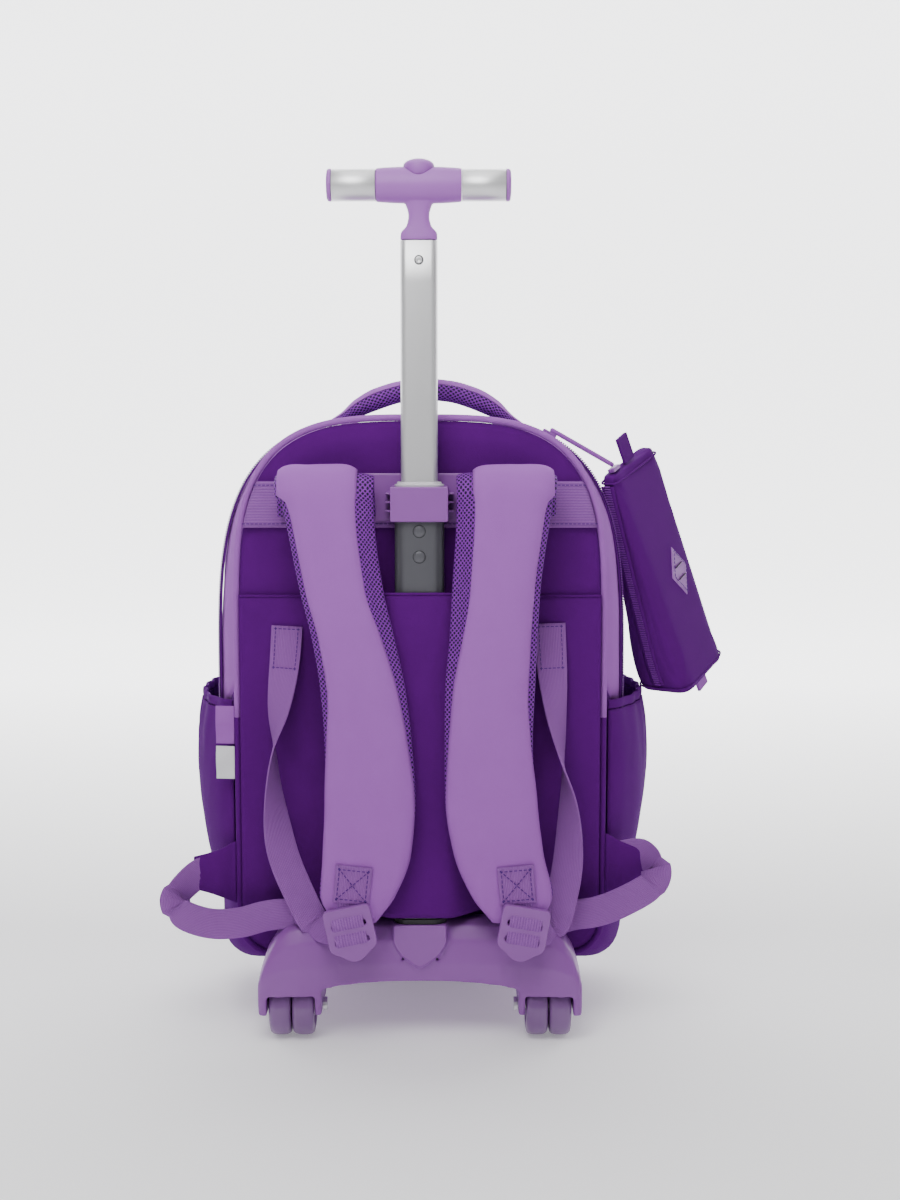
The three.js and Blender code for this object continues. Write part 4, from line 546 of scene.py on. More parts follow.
def superellipse(count: int, power: float) -> list[tuple[float, float]]:
    """Ring of shares between -1 and 1, boxier for a higher power."""
    ring = []
    for i in range(count):
        angle = TAU * (i + 0.5) / count
        c, s = math.cos(angle), math.sin(angle)
        ring.append((math.copysign(abs(c) ** (2 / power), c), math.copysign(abs(s) ** (2 / power), s)))
    return ring


def oval(width: float, thick: float, offset: float, steps: int = 14) -> list[tuple[float, float]]:
    """Flat-oval outline, wide along X, set in or out by an offset."""
    w, t = width / 2 + offset, thick / 2 + offset
    reach = w - t * 0.9
    half = [-math.pi / 2 + math.pi * k / steps for k in range(steps + 1)]
    right = [(reach + (w - reach) * math.cos(a), t * math.sin(a)) for a in half]
    return right + [(-x, -y) for x, y in right]


def strip(name: str, lefts: Sequence[Vector], rights: Sequence[Vector], section: Sequence[tuple[float, float]],
          thick: float, lift: float = 0.0) -> bpy.types.Object:
    """Closed strip between two edge lines, with a section in shares of its width and thickness."""
    middles = [(a + b) / 2 for a, b in zip(lefts, rights)]
    last = len(middles) - 1
    rings: Grid = []
    for i, middle in enumerate(middles):
        across = rights[i] - lefts[i]
        forward = middles[min(i + 1, last)] - middles[max(i - 1, 0)]
        normal = forward.cross(across).normalized()
        rings.append([middle + across * a / 2 + normal * (b * thick / 2 + lift) for a, b in section])
    return surface(name, rings, wrap=True, caps=True)


def joined(name: str, parts: Sequence[bpy.types.Object]) -> bpy.types.Object:
    """One object from several, without their modifiers left live."""
    bm = bmesh.new()
    for part in parts:
        settled(part)
        bm.from_mesh(part.data)
    mesh = bpy.data.meshes.new(name)
    bm.to_mesh(mesh)
    bm.free()
    for part in parts:
        bpy.data.objects.remove(part)
    obj = bpy.data.objects.new(name, mesh)
    mesh.shade_smooth()
    bpy.context.scene.collection.objects.link(obj)
    return obj


def copy_of(frame: dict, node: str, name: str) -> bpy.types.Object:
    """Merged copy of a CAD node's mesh."""
    obj = bpy.data.objects.new(name, frame["nodes"][node].data.copy())
    bpy.context.scene.collection.objects.link(obj)
    obj.data.materials.clear()
    bm = bmesh.new()
    bm.from_mesh(obj.data)
    bmesh.ops.remove_doubles(bm, verts=bm.verts, dist=1e-6)
    bm.to_mesh(obj.data)
    bm.free()
    return obj


def moulded(obj: bpy.types.Object, voxel: float, rounds: int) -> bpy.types.Object:
    """Melts an object's parts into one moulding with softly rounded edges.

    Args:
        obj: closed parts, which may run into each other.
        voxel: fineness of the new surface.
        rounds: passes of smoothing, more for rounder edges.

    Returns:
        The same object.
    """
    melt = obj.modifiers.new("Melt", "REMESH")
    melt.mode = "VOXEL"
    melt.voxel_size = voxel
    melt.use_smooth_shade = True
    ease = obj.modifiers.new("Ease", "SMOOTH")
    ease.iterations = rounds
    ease.factor = 0.5
    settled(obj)
    obj.data.shade_smooth()
    return obj


# Repeats along paths


def path_object(name: str, paths: Sequence[Sequence[Vector]], looped: bool = False) -> bpy.types.Object:
    """Curve object with one straight-segment spline for each path."""
    curve = bpy.data.curves.new(name, "CURVE")
    curve.dimensions = "3D"
    for path in paths:
        line = curve.splines.new("POLY")
        line.points.add(len(path) - 1)
        for point, place in zip(line.points, path):
            point.co = (*place, 1.0)
        line.use_cyclic_u = looped
    obj = bpy.data.objects.new(name, curve)
    bpy.context.scene.collection.objects.link(obj)
    return obj


class BarTree:
    """Geometry Nodes tree that repeats a short round bar along paths."""

    def __init__(self) -> None:
        """Builds the tree with named inputs for its sizes."""
        tree = bpy.data.node_groups.new("Bars along a path", "GeometryNodeTree")
        face = tree.interface
        face.new_socket("Geometry", in_out="INPUT", socket_type="NodeSocketGeometry")
        sizes = {"Spacing": 0.003, "Length": 0.002, "Radius": 0.0004}
        for name, value in sizes.items():
            face.new_socket(name, in_out="INPUT", socket_type="NodeSocketFloat").default_value = value
        face.new_socket("Along", in_out="INPUT", socket_type="NodeSocketBool")
        face.new_socket("Direction", in_out="INPUT", socket_type="NodeSocketVector")
        face.new_socket("Material", in_out="INPUT", socket_type="NodeSocketMaterial")
        face.new_socket("Geometry", in_out="OUTPUT", socket_type="NodeSocketGeometry")
        add, link = tree.nodes.new, tree.links.new
        start, end = add("NodeGroupInput"), add("NodeGroupOutput")
        spaced = add("GeometryNodeResampleCurve")
        spaced.mode = "LENGTH"
        link(start.outputs["Geometry"], spaced.inputs["Curve"])
        link(start.outputs["Spacing"], spaced.inputs["Length"])
        bar = add("GeometryNodeMeshCylinder")
        bar.inputs["Vertices"].default_value = 6
        link(start.outputs["Radius"], bar.inputs["Radius"])
        link(start.outputs["Length"], bar.inputs["Depth"])
        choose = add("GeometryNodeSwitch")
        choose.input_type = "VECTOR"
        link(start.outputs["Along"], choose.inputs["Switch"])
        link(start.outputs["Direction"], choose.inputs["False"])
        link(add("GeometryNodeInputTangent").outputs["Tangent"], choose.inputs["True"])
        align = add("FunctionNodeAlignRotationToVector")
        align.axis = "Z"
        link(choose.outputs["Output"], align.inputs["Vector"])
        repeat = add("GeometryNodeInstanceOnPoints")
        link(spaced.outputs["Curve"], repeat.inputs["Points"])
        link(bar.outputs["Mesh"], repeat.inputs["Instance"])
        link(align.outputs["Rotation"], repeat.inputs["Rotation"])
        real = add("GeometryNodeRealizeInstances")
        link(repeat.outputs["Instances"], real.inputs["Geometry"])
        paint = add("GeometryNodeSetMaterial")
        link(real.outputs["Geometry"], paint.inputs["Geometry"])
        link(start.outputs["Material"], paint.inputs["Material"])
        link(paint.outputs["Geometry"], end.inputs["Geometry"])
        self.tree = tree
        self.sockets = {s.name: s.identifier for s in face.items_tree if s.in_out == "INPUT"}

    def along(self, name: str, paths: Sequence[Sequence[Vector]], material: bpy.types.Material, spacing: float,
              length: float, radius: float, turn: Turn = Turn.ALONG, direction: Vector | None = None,
              looped: bool = False) -> bpy.types.Object:
        """Bars repeated along paths, as one plain mesh.

        Args:
            name: the piece's name.
            paths: lines that the bars follow.
            material: their finish.
            spacing: distance from bar to bar.
            length: length of a bar.
            radius: its radius.
            turn: whether a bar lies along the path or keeps one direction.
            direction: that direction.
            looped: whether the paths close on themselves.

        Returns:
            The object.
        """
        obj = path_object(name, paths, looped)
        nodes = obj.modifiers.new("Bars", "NODES")
        nodes.node_group = self.tree
        nodes[self.sockets["Spacing"]] = spacing
        nodes[self.sockets["Length"]] = length
        nodes[self.sockets["Radius"]] = radius
        nodes[self.sockets["Along"]] = turn is Turn.ALONG
        nodes[self.sockets["Direction"]] = tuple(direction or Vector((0, 1, 0)))
        nodes[self.sockets["Material"]] = material
        made = settled(obj)
        made.name = name
        return made


# Shader groups


def shader_group(name: str, inputs: dict[str, float | Colour], outputs: dict[str, str]) -> bpy.types.NodeTree:
    """New shader node group with named sockets.

    Args:
        name: the group's name.
        inputs: name to starting value; a triple is a colour.
        outputs: name to socket type.

    Returns:
        The group, with its input and output nodes in place.
    """
    group = bpy.data.node_groups.new(name, "ShaderNodeTree")
    for label, value in inputs.items():
        kind = "NodeSocketFloat" if isinstance(value, (int, float)) else "NodeSocketColor"
        made = group.interface.new_socket(label, in_out="INPUT", socket_type=kind)
        made.default_value = value if isinstance(value, (int, float)) else (*value, 1.0)
    for label, kind in outputs.items():
        group.interface.new_socket(label, in_out="OUTPUT", socket_type=kind)
    group.nodes.new("NodeGroupInput").name = "In"
    group.nodes.new("NodeGroupOutput").name = "Out"
    return group


class Wiring:
    """Short calls for building a node tree."""

    def __init__(self, tree: bpy.types.NodeTree) -> None:
        """Keeps the tree to build in."""
        self.tree = tree

    def node(self, kind: str, links: dict[str | int, object] | None = None, **settings: object) -> bpy.types.Node:
        """New node; links gives each input a socket or a value."""
        made = self.tree.nodes.new(kind)
        for key, value in settings.items():
            setattr(made, key, value)
        for key, value in (links or {}).items():
            if isinstance(value, bpy.types.NodeSocket):
                self.tree.links.new(value, made.inputs[key])
            else:
                made.inputs[key].default_value = value
        return made

    def math(self, operation: str, a: object, b: object = 0.0, c: object = 0.0) -> bpy.types.NodeSocket:
        """Result of a sum."""
        return self.node("ShaderNodeMath", {0: a, 1: b, 2: c}, operation=operation).outputs[0]

    def blend(self, factor: object, a: object, b: object) -> bpy.types.NodeSocket:
        """Mix of two colours."""
        made = self.node("ShaderNodeMix", data_type="RGBA")
        for key, value in ((0, factor), (6, a), (7, b)):
            if isinstance(value, bpy.types.NodeSocket):
                self.tree.links.new(value, made.inputs[key])
            else:
                made.inputs[key].default_value = value if isinstance(value, (int, float)) else (*value, 1.0)
        return made.outputs[2]


def cloth_group() -> bpy.types.NodeTree:
    """Dense plain weave: mottled colour and a fine bump height."""
    group = shader_group(
        "Dense weave",
        {"Colour": (0.1, 0.1, 0.1), "Deep": (0.05, 0.05, 0.05), "Thread": 0.0006, "Mottle": 0.35},
        {"Colour": "NodeSocketColor", "Height": "NodeSocketFloat"},
    )
    w = Wiring(group)
    start, end = group.nodes["In"].outputs, group.nodes["Out"].inputs
    place = w.node("ShaderNodeTexCoord").outputs["Object"]
    cloud = w.node("ShaderNodeTexNoise", {"Vector": place, "Scale": 38.0, "Detail": 4.0, "Roughness": 0.6})
    grain_scale = w.math("DIVIDE", 1.0, start["Thread"])
    grain = w.node("ShaderNodeTexNoise", {"Vector": place, "Scale": grain_scale, "Detail": 2.0})
    parts = w.node("ShaderNodeSeparateXYZ", {"Vector": place}).outputs
    turns = w.math("DIVIDE", TAU, w.math("MULTIPLY", start["Thread"], 2.0))
    warp = w.math("SINE", w.math("MULTIPLY", w.math("ADD", parts["X"], parts["Y"]), turns))
    weft = w.math("SINE", w.math("MULTIPLY", w.math("SUBTRACT", parts["Z"], parts["Y"]), turns))
    weave = w.math("MULTIPLY", warp, weft)
    tone = w.math("MULTIPLY_ADD", w.math("SUBTRACT", cloud.outputs["Fac"], 0.5), start["Mottle"], 0.25)
    tone = w.math("MULTIPLY_ADD", w.math("SUBTRACT", grain.outputs["Fac"], 0.5), 0.5, tone)
    tone = w.node("ShaderNodeClamp", {"Value": tone}).outputs[0]
    colour = w.blend(tone, start["Colour"], start["Deep"])
    height = w.math("MULTIPLY_ADD", weave, 0.22, w.math("MULTIPLY", grain.outputs["Fac"], 0.9))
    w.tree.links.new(colour, end["Colour"])
    w.tree.links.new(height, end["Height"])
    return group


def rib_group() -> bpy.types.NodeTree:
    """Webbing: ribs along its length with a fine weft across, from UVs in metres, with painted shade darkening the
    low parts between the ribs.
    """
    group = shader_group(
        "Ribbed webbing",
        {"Colour": (0.1, 0.1, 0.1), "Deep": (0.05, 0.05, 0.05), "Rib": 0.0024, "Weft": 0.0012},
        {"Colour": "NodeSocketColor", "Height": "NodeSocketFloat"},
    )
    w = Wiring(group)
    start, end = group.nodes["In"].outputs, group.nodes["Out"].inputs
    uv = w.node("ShaderNodeUVMap", uv_map="Cloth").outputs[0]
    place = w.node("ShaderNodeTexCoord").outputs["Object"]
    parts = w.node("ShaderNodeSeparateXYZ", {"Vector": uv}).outputs
    rib = w.math("SINE", w.math("MULTIPLY", parts["Y"], w.math("DIVIDE", TAU, start["Rib"])))
    weft_turns = w.math("DIVIDE", TAU, start["Weft"])
    shifted = w.math("MULTIPLY_ADD", rib, 1.1, w.math("MULTIPLY", parts["X"], weft_turns))
    weft = w.math("SINE", shifted)
    fuzz = w.node("ShaderNodeTexNoise", {"Vector": place, "Scale": 900.0, "Detail": 2.0}).outputs["Fac"]
    height = w.math("MULTIPLY_ADD", rib, 0.5, w.math("MULTIPLY", weft, 0.3))
    height = w.math("MULTIPLY_ADD", fuzz, 0.35, height)
    # Painted shade: the lower the surface, the nearer its colour comes to the deep colour, darkest in the troughs
    # between ribs.
    tone = w.node("ShaderNodeClamp", {"Value": w.math("MULTIPLY_ADD", height, -0.42, 0.42)}).outputs[0]
    w.tree.links.new(w.blend(tone, start["Colour"], start["Deep"]), end["Colour"])
    w.tree.links.new(height, end["Height"])
    return group


def mesh_group() -> bpy.types.NodeTree:
    """Knitted air mesh: diamond holes between crossing strands, from UVs in metres; the holes are painted near-black
    as shade.
    """
    group = shader_group(
        "Air mesh",
        {"Strand": (0.2, 0.1, 0.3), "Hole shade": (0.01, 0.01, 0.02), "Along": 0.0039, "Across": 0.0034},
        {"Colour": "NodeSocketColor", "Height": "NodeSocketFloat"},
    )
    w = Wiring(group)
    start, end = group.nodes["In"].outputs, group.nodes["Out"].inputs
    uv = w.node("ShaderNodeUVMap", uv_map="Cloth").outputs[0]
    place = w.node("ShaderNodeTexCoord").outputs["Object"]
    wander = w.node("ShaderNodeTexNoise", {"Vector": place, "Scale": 160.0, "Detail": 1.0}).outputs["Fac"]
    parts = w.node("ShaderNodeSeparateXYZ", {"Vector": uv}).outputs
    loose = w.math("MULTIPLY", w.math("SUBTRACT", wander, 0.5), 0.5)
    u = w.math("ADD", w.math("DIVIDE", parts["X"], start["Along"]), loose)
    v = w.math("DIVIDE", parts["Y"], start["Across"])
    one = w.math("ABSOLUTE", w.math("SINE", w.math("MULTIPLY", w.math("ADD", u, v), math.pi)))
    two = w.math("ABSOLUTE", w.math("SINE", w.math("MULTIPLY", w.math("SUBTRACT", u, v), math.pi)))
    depth = w.math("MULTIPLY", one, two)
    hole = w.node("ShaderNodeMapRange", {"Value": depth, "From Min": 0.28, "From Max": 0.62}).outputs[0]
    # Painted shade: the holes take the near-black hole colour.
    w.tree.links.new(w.blend(hole, start["Strand"], start["Hole shade"]), end["Colour"])
    w.tree.links.new(w.math("SUBTRACT", 1.0, hole), end["Height"])
    return group


def grain_group() -> bpy.types.NodeTree:
    """Moulded plastic or metal: slight unevenness of colour, gloss and surface."""
    group = shader_group(
        "Fine grain",
        {"Colour": (0.1, 0.1, 0.1), "Deep": (0.05, 0.05, 0.05), "Size": 0.0008, "Rough": 0.4, "Uneven": 0.1,
         "Stretch": 1.0},
        {"Colour": "NodeSocketColor", "Roughness": "NodeSocketFloat", "Height": "NodeSocketFloat"},
    )
    w = Wiring(group)
    start, end = group.nodes["In"].outputs, group.nodes["Out"].inputs
    place = w.node("ShaderNodeTexCoord").outputs["Object"]
    drawn = w.node("ShaderNodeCombineXYZ", {"X": 1.0, "Y": 1.0, "Z": start["Stretch"]}).outputs[0]
    place = w.node("ShaderNodeVectorMath", {0: place, 1: drawn}, operation="MULTIPLY").outputs[0]
    fine = w.node(
        "ShaderNodeTexNoise", {"Vector": place, "Scale": w.math("DIVIDE", 1.0, start["Size"]), "Detail": 3.0}
    ).outputs["Fac"]
    broad = w.node("ShaderNodeTexNoise", {"Vector": place, "Scale": 22.0, "Detail": 3.0}).outputs["Fac"]
    tone = w.node("ShaderNodeClamp", {"Value": w.math("MULTIPLY", broad, 0.6)}).outputs[0]
    w.tree.links.new(w.blend(tone, start["Colour"], start["Deep"]), end["Colour"])
    rough = w.math("MULTIPLY_ADD", w.math("SUBTRACT", broad, 0.5), start["Uneven"], start["Rough"])
    w.tree.links.new(rough, end["Roughness"])
    w.tree.links.new(fine, end["Height"])
    return group


class Groups:
    """The shader groups that the finishes share, each built once."""

    made: dict[str, bpy.types.NodeTree] = {}

    @classmethod
    def get(cls, build: Callable[[], bpy.types.NodeTree]) -> bpy.types.NodeTree:
        """The group that a function builds, made on its first use."""
        if build.__name__ not in cls.made:
            cls.made[build.__name__] = build()
        return cls.made[build.__name__]


# Finishes


def new_material(name: str) -> tuple[bpy.types.Material, Wiring, bpy.types.Node]:
    """Empty node material with its Principled shader."""
    material = bpy.data.materials.new(name)
    material.use_nodes = True
    shader = material.node_tree.nodes["Principled BSDF"]
    return material, Wiring(material.node_tree), shader


def place_group(w: Wiring, group: bpy.types.NodeTree, values: dict[str, object]) -> bpy.types.Node:
    """A group node in a material, with its own values."""
    node = w.tree.nodes.new("ShaderNodeGroup")
    node.node_tree = group
    for key, value in values.items():
        node.inputs[key].default_value = value if isinstance(value, (int, float)) else (*value, 1.0)
    return node


def raise_bump(w: Wiring, shader: bpy.types.Node, height: bpy.types.NodeSocket, depth: float) -> None:
    """Feeds a height through a Bump node to a shader's normal."""
    bump = w.node("ShaderNodeBump", {"Height": height, "Distance": depth, "Strength": 1.0})
    w.tree.links.new(bump.outputs["Normal"], shader.inputs["Normal"])


@dataclass(frozen=True)
class ClothFinish:
    """Dense woven polyester."""

    name: str
    colour: Colour
    deep: Colour
    sheen: float = 0.03
    roughness: float = 0.86
    thread: float = 0.0006
    bump: float = 0.00016

    def build(self) -> bpy.types.Material:
        """The finish as a material."""
        material, w, shader = new_material(self.name)
        weave = place_group(
            w, Groups.get(cloth_group), {"Colour": self.colour, "Deep": self.deep, "Thread": self.thread}
        )
        w.tree.links.new(weave.outputs["Colour"], shader.inputs["Base Color"])
        shader.inputs["Roughness"].default_value = self.roughness
        shader.inputs["Sheen Weight"].default_value = self.sheen
        shader.inputs["Sheen Roughness"].default_value = 0.45
        shader.inputs["Sheen Tint"].default_value = (*[mix(c, 1.0, 0.1) for c in self.colour], 1.0)
        shader.inputs["Specular IOR Level"].default_value = 0.09
        raise_bump(w, shader, weave.outputs["Height"], self.bump)
        return material


@dataclass(frozen=True)
class WebbingFinish:
    """Woven tape with ribs along it; its deep colour is painted shade between the ribs."""

    name: str
    colour: Colour
    deep: Colour
    rib: float = 0.0022
    weft: float = 0.0011

    def build(self) -> bpy.types.Material:
        """The finish as a material."""
        material, w, shader = new_material(self.name)
        ribs = place_group(
            w,
            Groups.get(rib_group),
            {"Colour": self.colour, "Deep": self.deep, "Rib": self.rib, "Weft": self.weft},
        )
        w.tree.links.new(ribs.outputs["Colour"], shader.inputs["Base Color"])
        shader.inputs["Roughness"].default_value = 0.8
        shader.inputs["Specular IOR Level"].default_value = 0.2
        raise_bump(w, shader, ribs.outputs["Height"], 0.0003)
        return material


@dataclass(frozen=True)
class MeshFinish:
    """Spacer mesh whose holes are painted dark as shade."""

    name: str
    strand: Colour
    hole: Colour

    def build(self) -> bpy.types.Material:
        """The finish as a material."""
        material, w, shader = new_material(self.name)
        net = place_group(w, Groups.get(mesh_group), {"Strand": self.strand, "Hole shade": self.hole})
        w.tree.links.new(net.outputs["Colour"], shader.inputs["Base Color"])
        shader.inputs["Roughness"].default_value = 0.65
        shader.inputs["Specular IOR Level"].default_value = 0.25
        raise_bump(w, shader, net.outputs["Height"], 0.0009)
        return material


@dataclass(frozen=True)
class HardFinish:
    """Moulded plastic, rubber or drawn metal."""

    name: str
    colour: Colour
    deep: Colour
    rough: float
    metal: float = 0.0
    size: float = 0.0008
    stretch: float = 1.0
    bump: float = 0.00003
    coat: float = 0.0
    clear: float = 0.0

    def build(self) -> bpy.types.Material:
        """The finish as a material."""
        material, w, shader = new_material(self.name)
        grain = place_group(
            w,
            Groups.get(grain_group),
            {"Colour": self.colour, "Deep": self.deep, "Rough": self.rough, "Size": self.size,
             "Stretch": self.stretch},
        )
        w.tree.links.new(grain.outputs["Colour"], shader.inputs["Base Color"])
        w.tree.links.new(grain.outputs["Roughness"], shader.inputs["Roughness"])
        shader.inputs["Metallic"].default_value = self.metal
        shader.inputs["Coat Weight"].default_value = self.coat
        shader.inputs["Subsurface Weight"].default_value = self.clear
        shader.inputs["Subsurface Radius"].default_value = (0.002, 0.002, 0.002)
        raise_bump(w, shader, grain.outputs["Height"], self.bump)
        return material


class Palette:
    """Every finish of the backpack, built once."""

    def __init__(self) -> None:
        """Builds the materials."""
        violet, violet_deep = (0.1, 0.002, 0.18), (0.06, 0.001, 0.11)
        lavender, lavender_deep = (0.37, 0.12, 0.5), (0.29, 0.088, 0.4)
        self.violet = ClothFinish("Violet cloth", violet, violet_deep).build()
        self.lavender = ClothFinish("Lavender cloth", lavender, lavender_deep).build()
        # The webbing's deep colours are painted shade for the troughs between its ribs.
        self.webbing = WebbingFinish("Lavender webbing", (0.34, 0.12, 0.46), (0.17, 0.05, 0.26)).build()
        self.fine_webbing = WebbingFinish(
            "Lavender tape", (0.35, 0.12, 0.47), (0.22, 0.068, 0.32), 0.0013, 0.0007
        ).build()
        # The air mesh's hole colour is painted shade.
        self.mesh = MeshFinish("Violet air mesh", (0.24, 0.03, 0.42), (0.012, 0.001, 0.03)).build()
        # Partly painted shade: the lavender plastic is set darker than the rubber's lavender so that the low base
        # looks shaded, and every plastic part takes it.
        self.plastic = HardFinish("Lavender plastic", (0.27, 0.08, 0.37), (0.24, 0.07, 0.33), 0.42).build()
        self.gloss = HardFinish("Lavender rubber", (0.34, 0.105, 0.46), (0.3, 0.09, 0.41), 0.5).build()
        self.wheel = HardFinish("Wheel plastic", (0.2, 0.085, 0.27), (0.15, 0.06, 0.2), 0.3, coat=0.3).build()
        self.silver = HardFinish(
            "Satin aluminium", (0.74, 0.74, 0.75), (0.68, 0.68, 0.69), 0.4, metal=0.75, stretch=0.06
        ).build()
        self.grey = HardFinish(
            "Grey tube", (0.12, 0.12, 0.135), (0.09, 0.09, 0.105), 0.42, metal=0.5, stretch=0.06
        ).build()
        self.clear = HardFinish("Milky plastic", (0.62, 0.6, 0.64), (0.55, 0.53, 0.58), 0.3, clear=0.4).build()
        self.black = HardFinish("Black rubber", (0.012, 0.011, 0.014), (0.02, 0.018, 0.022), 0.6).build()
        self.white = ClothFinish("White tape", (0.82, 0.82, 0.84), (0.62, 0.62, 0.65), thread=0.0004).build()
        self.thread = ClothFinish("Violet thread", (0.1, 0.03, 0.22), (0.06, 0.015, 0.14), thread=0.0003).build()
        self.teeth = HardFinish("Zip coil", (0.2, 0.02, 0.33), (0.14, 0.01, 0.24), 0.45).build()
        self.backdrop = self.build_backdrop()

    @staticmethod
    def build_backdrop() -> bpy.types.Material:
        """White studio sweep, lit from within behind the object."""
        material, w, shader = new_material("Studio sweep")
        place = w.node("ShaderNodeTexCoord").outputs["Object"]
        depth = w.node("ShaderNodeSeparateXYZ", {"Vector": place}).outputs["Y"]
        far = w.node("ShaderNodeMapRange", {"Value": depth, "From Min": 0.1, "From Max": 1.6, "To Min": 0.24,
                                            "To Max": 2.8}).outputs[0]
        shader.inputs["Base Color"].default_value = (0.93, 0.93, 0.935, 1.0)
        shader.inputs["Roughness"].default_value = 0.95
        shader.inputs["Specular IOR Level"].default_value = 0.1
        shader.inputs["Emission Color"].default_value = (0.985, 0.985, 1.0, 1.0)
        w.tree.links.new(far, shader.inputs["Emission Strength"])
        return material


# Shared sizes


@dataclass(frozen=True)
class Section:
    """One upright section of the bag."""

    half_width: float
    bottom: float
    shoulder: float
    top: float

    def half_width_at(self, z: float) -> float:
        """Half width at a height."""
        t = clamp((z - self.shoulder) / (self.top - self.shoulder))
        return self.half_width * (1 - t**CROWN_POWER) ** (1 / CROWN_POWER)

    def crown_at(self, x: float) -> float:
        """Height of the top at a place across."""
        share = clamp(abs(x) / self.half_width)
        return self.shoulder + (self.top - self.shoulder) * (1 - share**CROWN_POWER) ** (1 / CROWN_POWER)

    def ring(self, y: float, inset: float = 0.0) -> list[Vector]:
        """Points round the section from the middle of its bottom, up the right side and down the left."""
        w, low = self.half_width - inset, self.bottom + inset
        radius, crown = CORNER_RADIUS - inset, self.top - inset - self.shoulder
        right = [((w - radius) * k / 8, low) for k in range(1, 8)]
        for k in range(9):
            angle = math.pi / 16 * k
            right.append((w - radius + radius * math.sin(angle), low + radius - radius * math.cos(angle)))
        right += [(w, mix(low + radius, self.shoulder, k / 20)) for k in range(1, 20)]
        power = 2 / CROWN_POWER
        for k in range(33):
            angle = math.pi / 2 * (k / 33)
            right.append((w * math.cos(angle) ** power, self.shoulder + crown * math.sin(angle) ** power))
        left = [(-x, z) for x, z in reversed(right)]
        outline = [(0.0, low), *right, (0.0, self.top - inset), *left]
        return [Vector((x, y, z)) for x, z in outline]


class Shape:
    """Driving sizes of the bag, read from the frame."""

    panel_shoulder = 0.6155
    bag_shoulder = 0.4838

    def __init__(self) -> None:
        """Reads the panel's and the bag's boxes."""
        low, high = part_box("back_panel")
        bag_low, bag_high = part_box("bag_shell")
        self.half_width = high.x
        self.bottom, self.top = low.z, high.z
        self.height = high.z - low.z
        self.face = low.y
        self.thick = high.y - low.y
        self.rim_depth = self.thick + GAP
        self.bag_half_width = bag_high.x
        self.bag_depth = bag_high.y - self.face
        self.bag_bottom = bag_low.z
        self.tube_y = sum(p.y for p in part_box("outer_tube")) / 2

    def z(self, share: float) -> float:
        """Height at a share of the panel."""
        return self.bottom + share * self.height

    def panel_section(self) -> Section:
        """Outline of the back panel."""
        return Section(self.half_width, self.bottom, self.z(self.panel_shoulder), self.top)

    def bag_section(self, depth: float) -> Section:
        """Outline of the bag at a depth behind the panel's face."""
        s = row(BAG_SECTIONS, "depth", (depth - self.rim_depth) / (self.bag_depth - self.rim_depth))
        return Section(
            mix(self.half_width, self.bag_half_width, s["swell"]),
            mix(self.bottom, self.bag_bottom, s["sink"]),
            mix(self.z(self.panel_shoulder), self.z(self.bag_shoulder), s["round"]),
            self.top - s["drop"] * self.height,
        )


@dataclass
class Workshop:
    """What every sub-assembly needs to build and dress its pieces."""

    frame: dict
    shape: Shape
    palette: Palette
    bars: BarTree

    def dress(self, obj: bpy.types.Object, material: bpy.types.Material, slot: str, replaces: Sequence[str] = (),
              body: str = "bag") -> bpy.types.Object:
        """Gives a piece its finish and body, and hides the CAD nodes that it stands for.

        Args:
            obj: the piece.
            material: its finish.
            slot: the record's material slot; not used.
            replaces: names of the CAD nodes that it stands for.
            body: the body that it rides on.

        Returns:
            The piece.
        """
        obj.data.materials.clear()
        obj.data.materials.append(material)
        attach(obj, body)
        if replaces:
            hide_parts(*replaces)
        log.info("%s rides on %s", obj.name, body)
        return obj

    def stitches(self, name: str, paths: Sequence[Sequence[Vector]], body: str = "bag", spacing: float = 0.0034,
                 length: float = 0.0024, radius: float = 0.00032) -> bpy.types.Object:
        """Dashes of thread along paths."""
        made = self.bars.along(name, paths, self.palette.thread, spacing, length, radius)
        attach(made, body)
        return made

    def keep(self, node: str, material: bpy.types.Material) -> None:
        """Puts a finish on a CAD node that stays as it is."""
        mesh = self.frame["nodes"][node].data
        mesh.materials.clear()
        mesh.materials.append(material)


def puff(obj: bpy.types.Object, cap: float, pressure: float = 4.0, frames: int = 20,
         held: Callable[[Vector], float] | None = None) -> bpy.types.Object:
    """Blows a closed cloth piece up a little, with its movement capped.

    Args:
        obj: closed mesh.
        cap: the furthest that a point may move.
        pressure: pressure inside.
        frames: frames of simulation.
        held: 0 to 1 for each point, how firmly a seam holds it.

    Returns:
        The same object.
    """
    scene = bpy.context.scene
    before = [v.co.copy() for v in obj.data.vertices]
    cloth = obj.modifiers.new("Cloth", "CLOTH")
    cloth.settings.quality = 6
    cloth.settings.mass = 0.25
    cloth.settings.use_pressure = True
    cloth.settings.uniform_pressure_force = pressure
    cloth.settings.tension_stiffness = 22
    cloth.settings.compression_stiffness = 22
    cloth.settings.bending_stiffness = 0.4
    cloth.settings.effector_weights.gravity = 0
    cloth.collision_settings.use_self_collision = False
    if held:
        pins = obj.vertex_groups.new(name="Seams")
        for i, p in enumerate(before):
            pins.add([i], held(p), "REPLACE")
        cloth.settings.vertex_group_mass = "Seams"
    cloth.point_cache.frame_start = 1
    cloth.point_cache.frame_end = frames
    for frame in range(1, frames + 1):
        scene.frame_set(frame)
    graph = bpy.context.evaluated_depsgraph_get()
    after = [v.co.copy() for v in obj.evaluated_get(graph).data.vertices]
    obj.modifiers.remove(cloth)
    for v, a, b in zip(obj.data.vertices, before, after):
        move = b - a
        if move.length > cap:
            move *= cap / move.length
        v.co = a + move
    obj.vertex_groups.clear()
    scene.frame_set(1)
    return obj


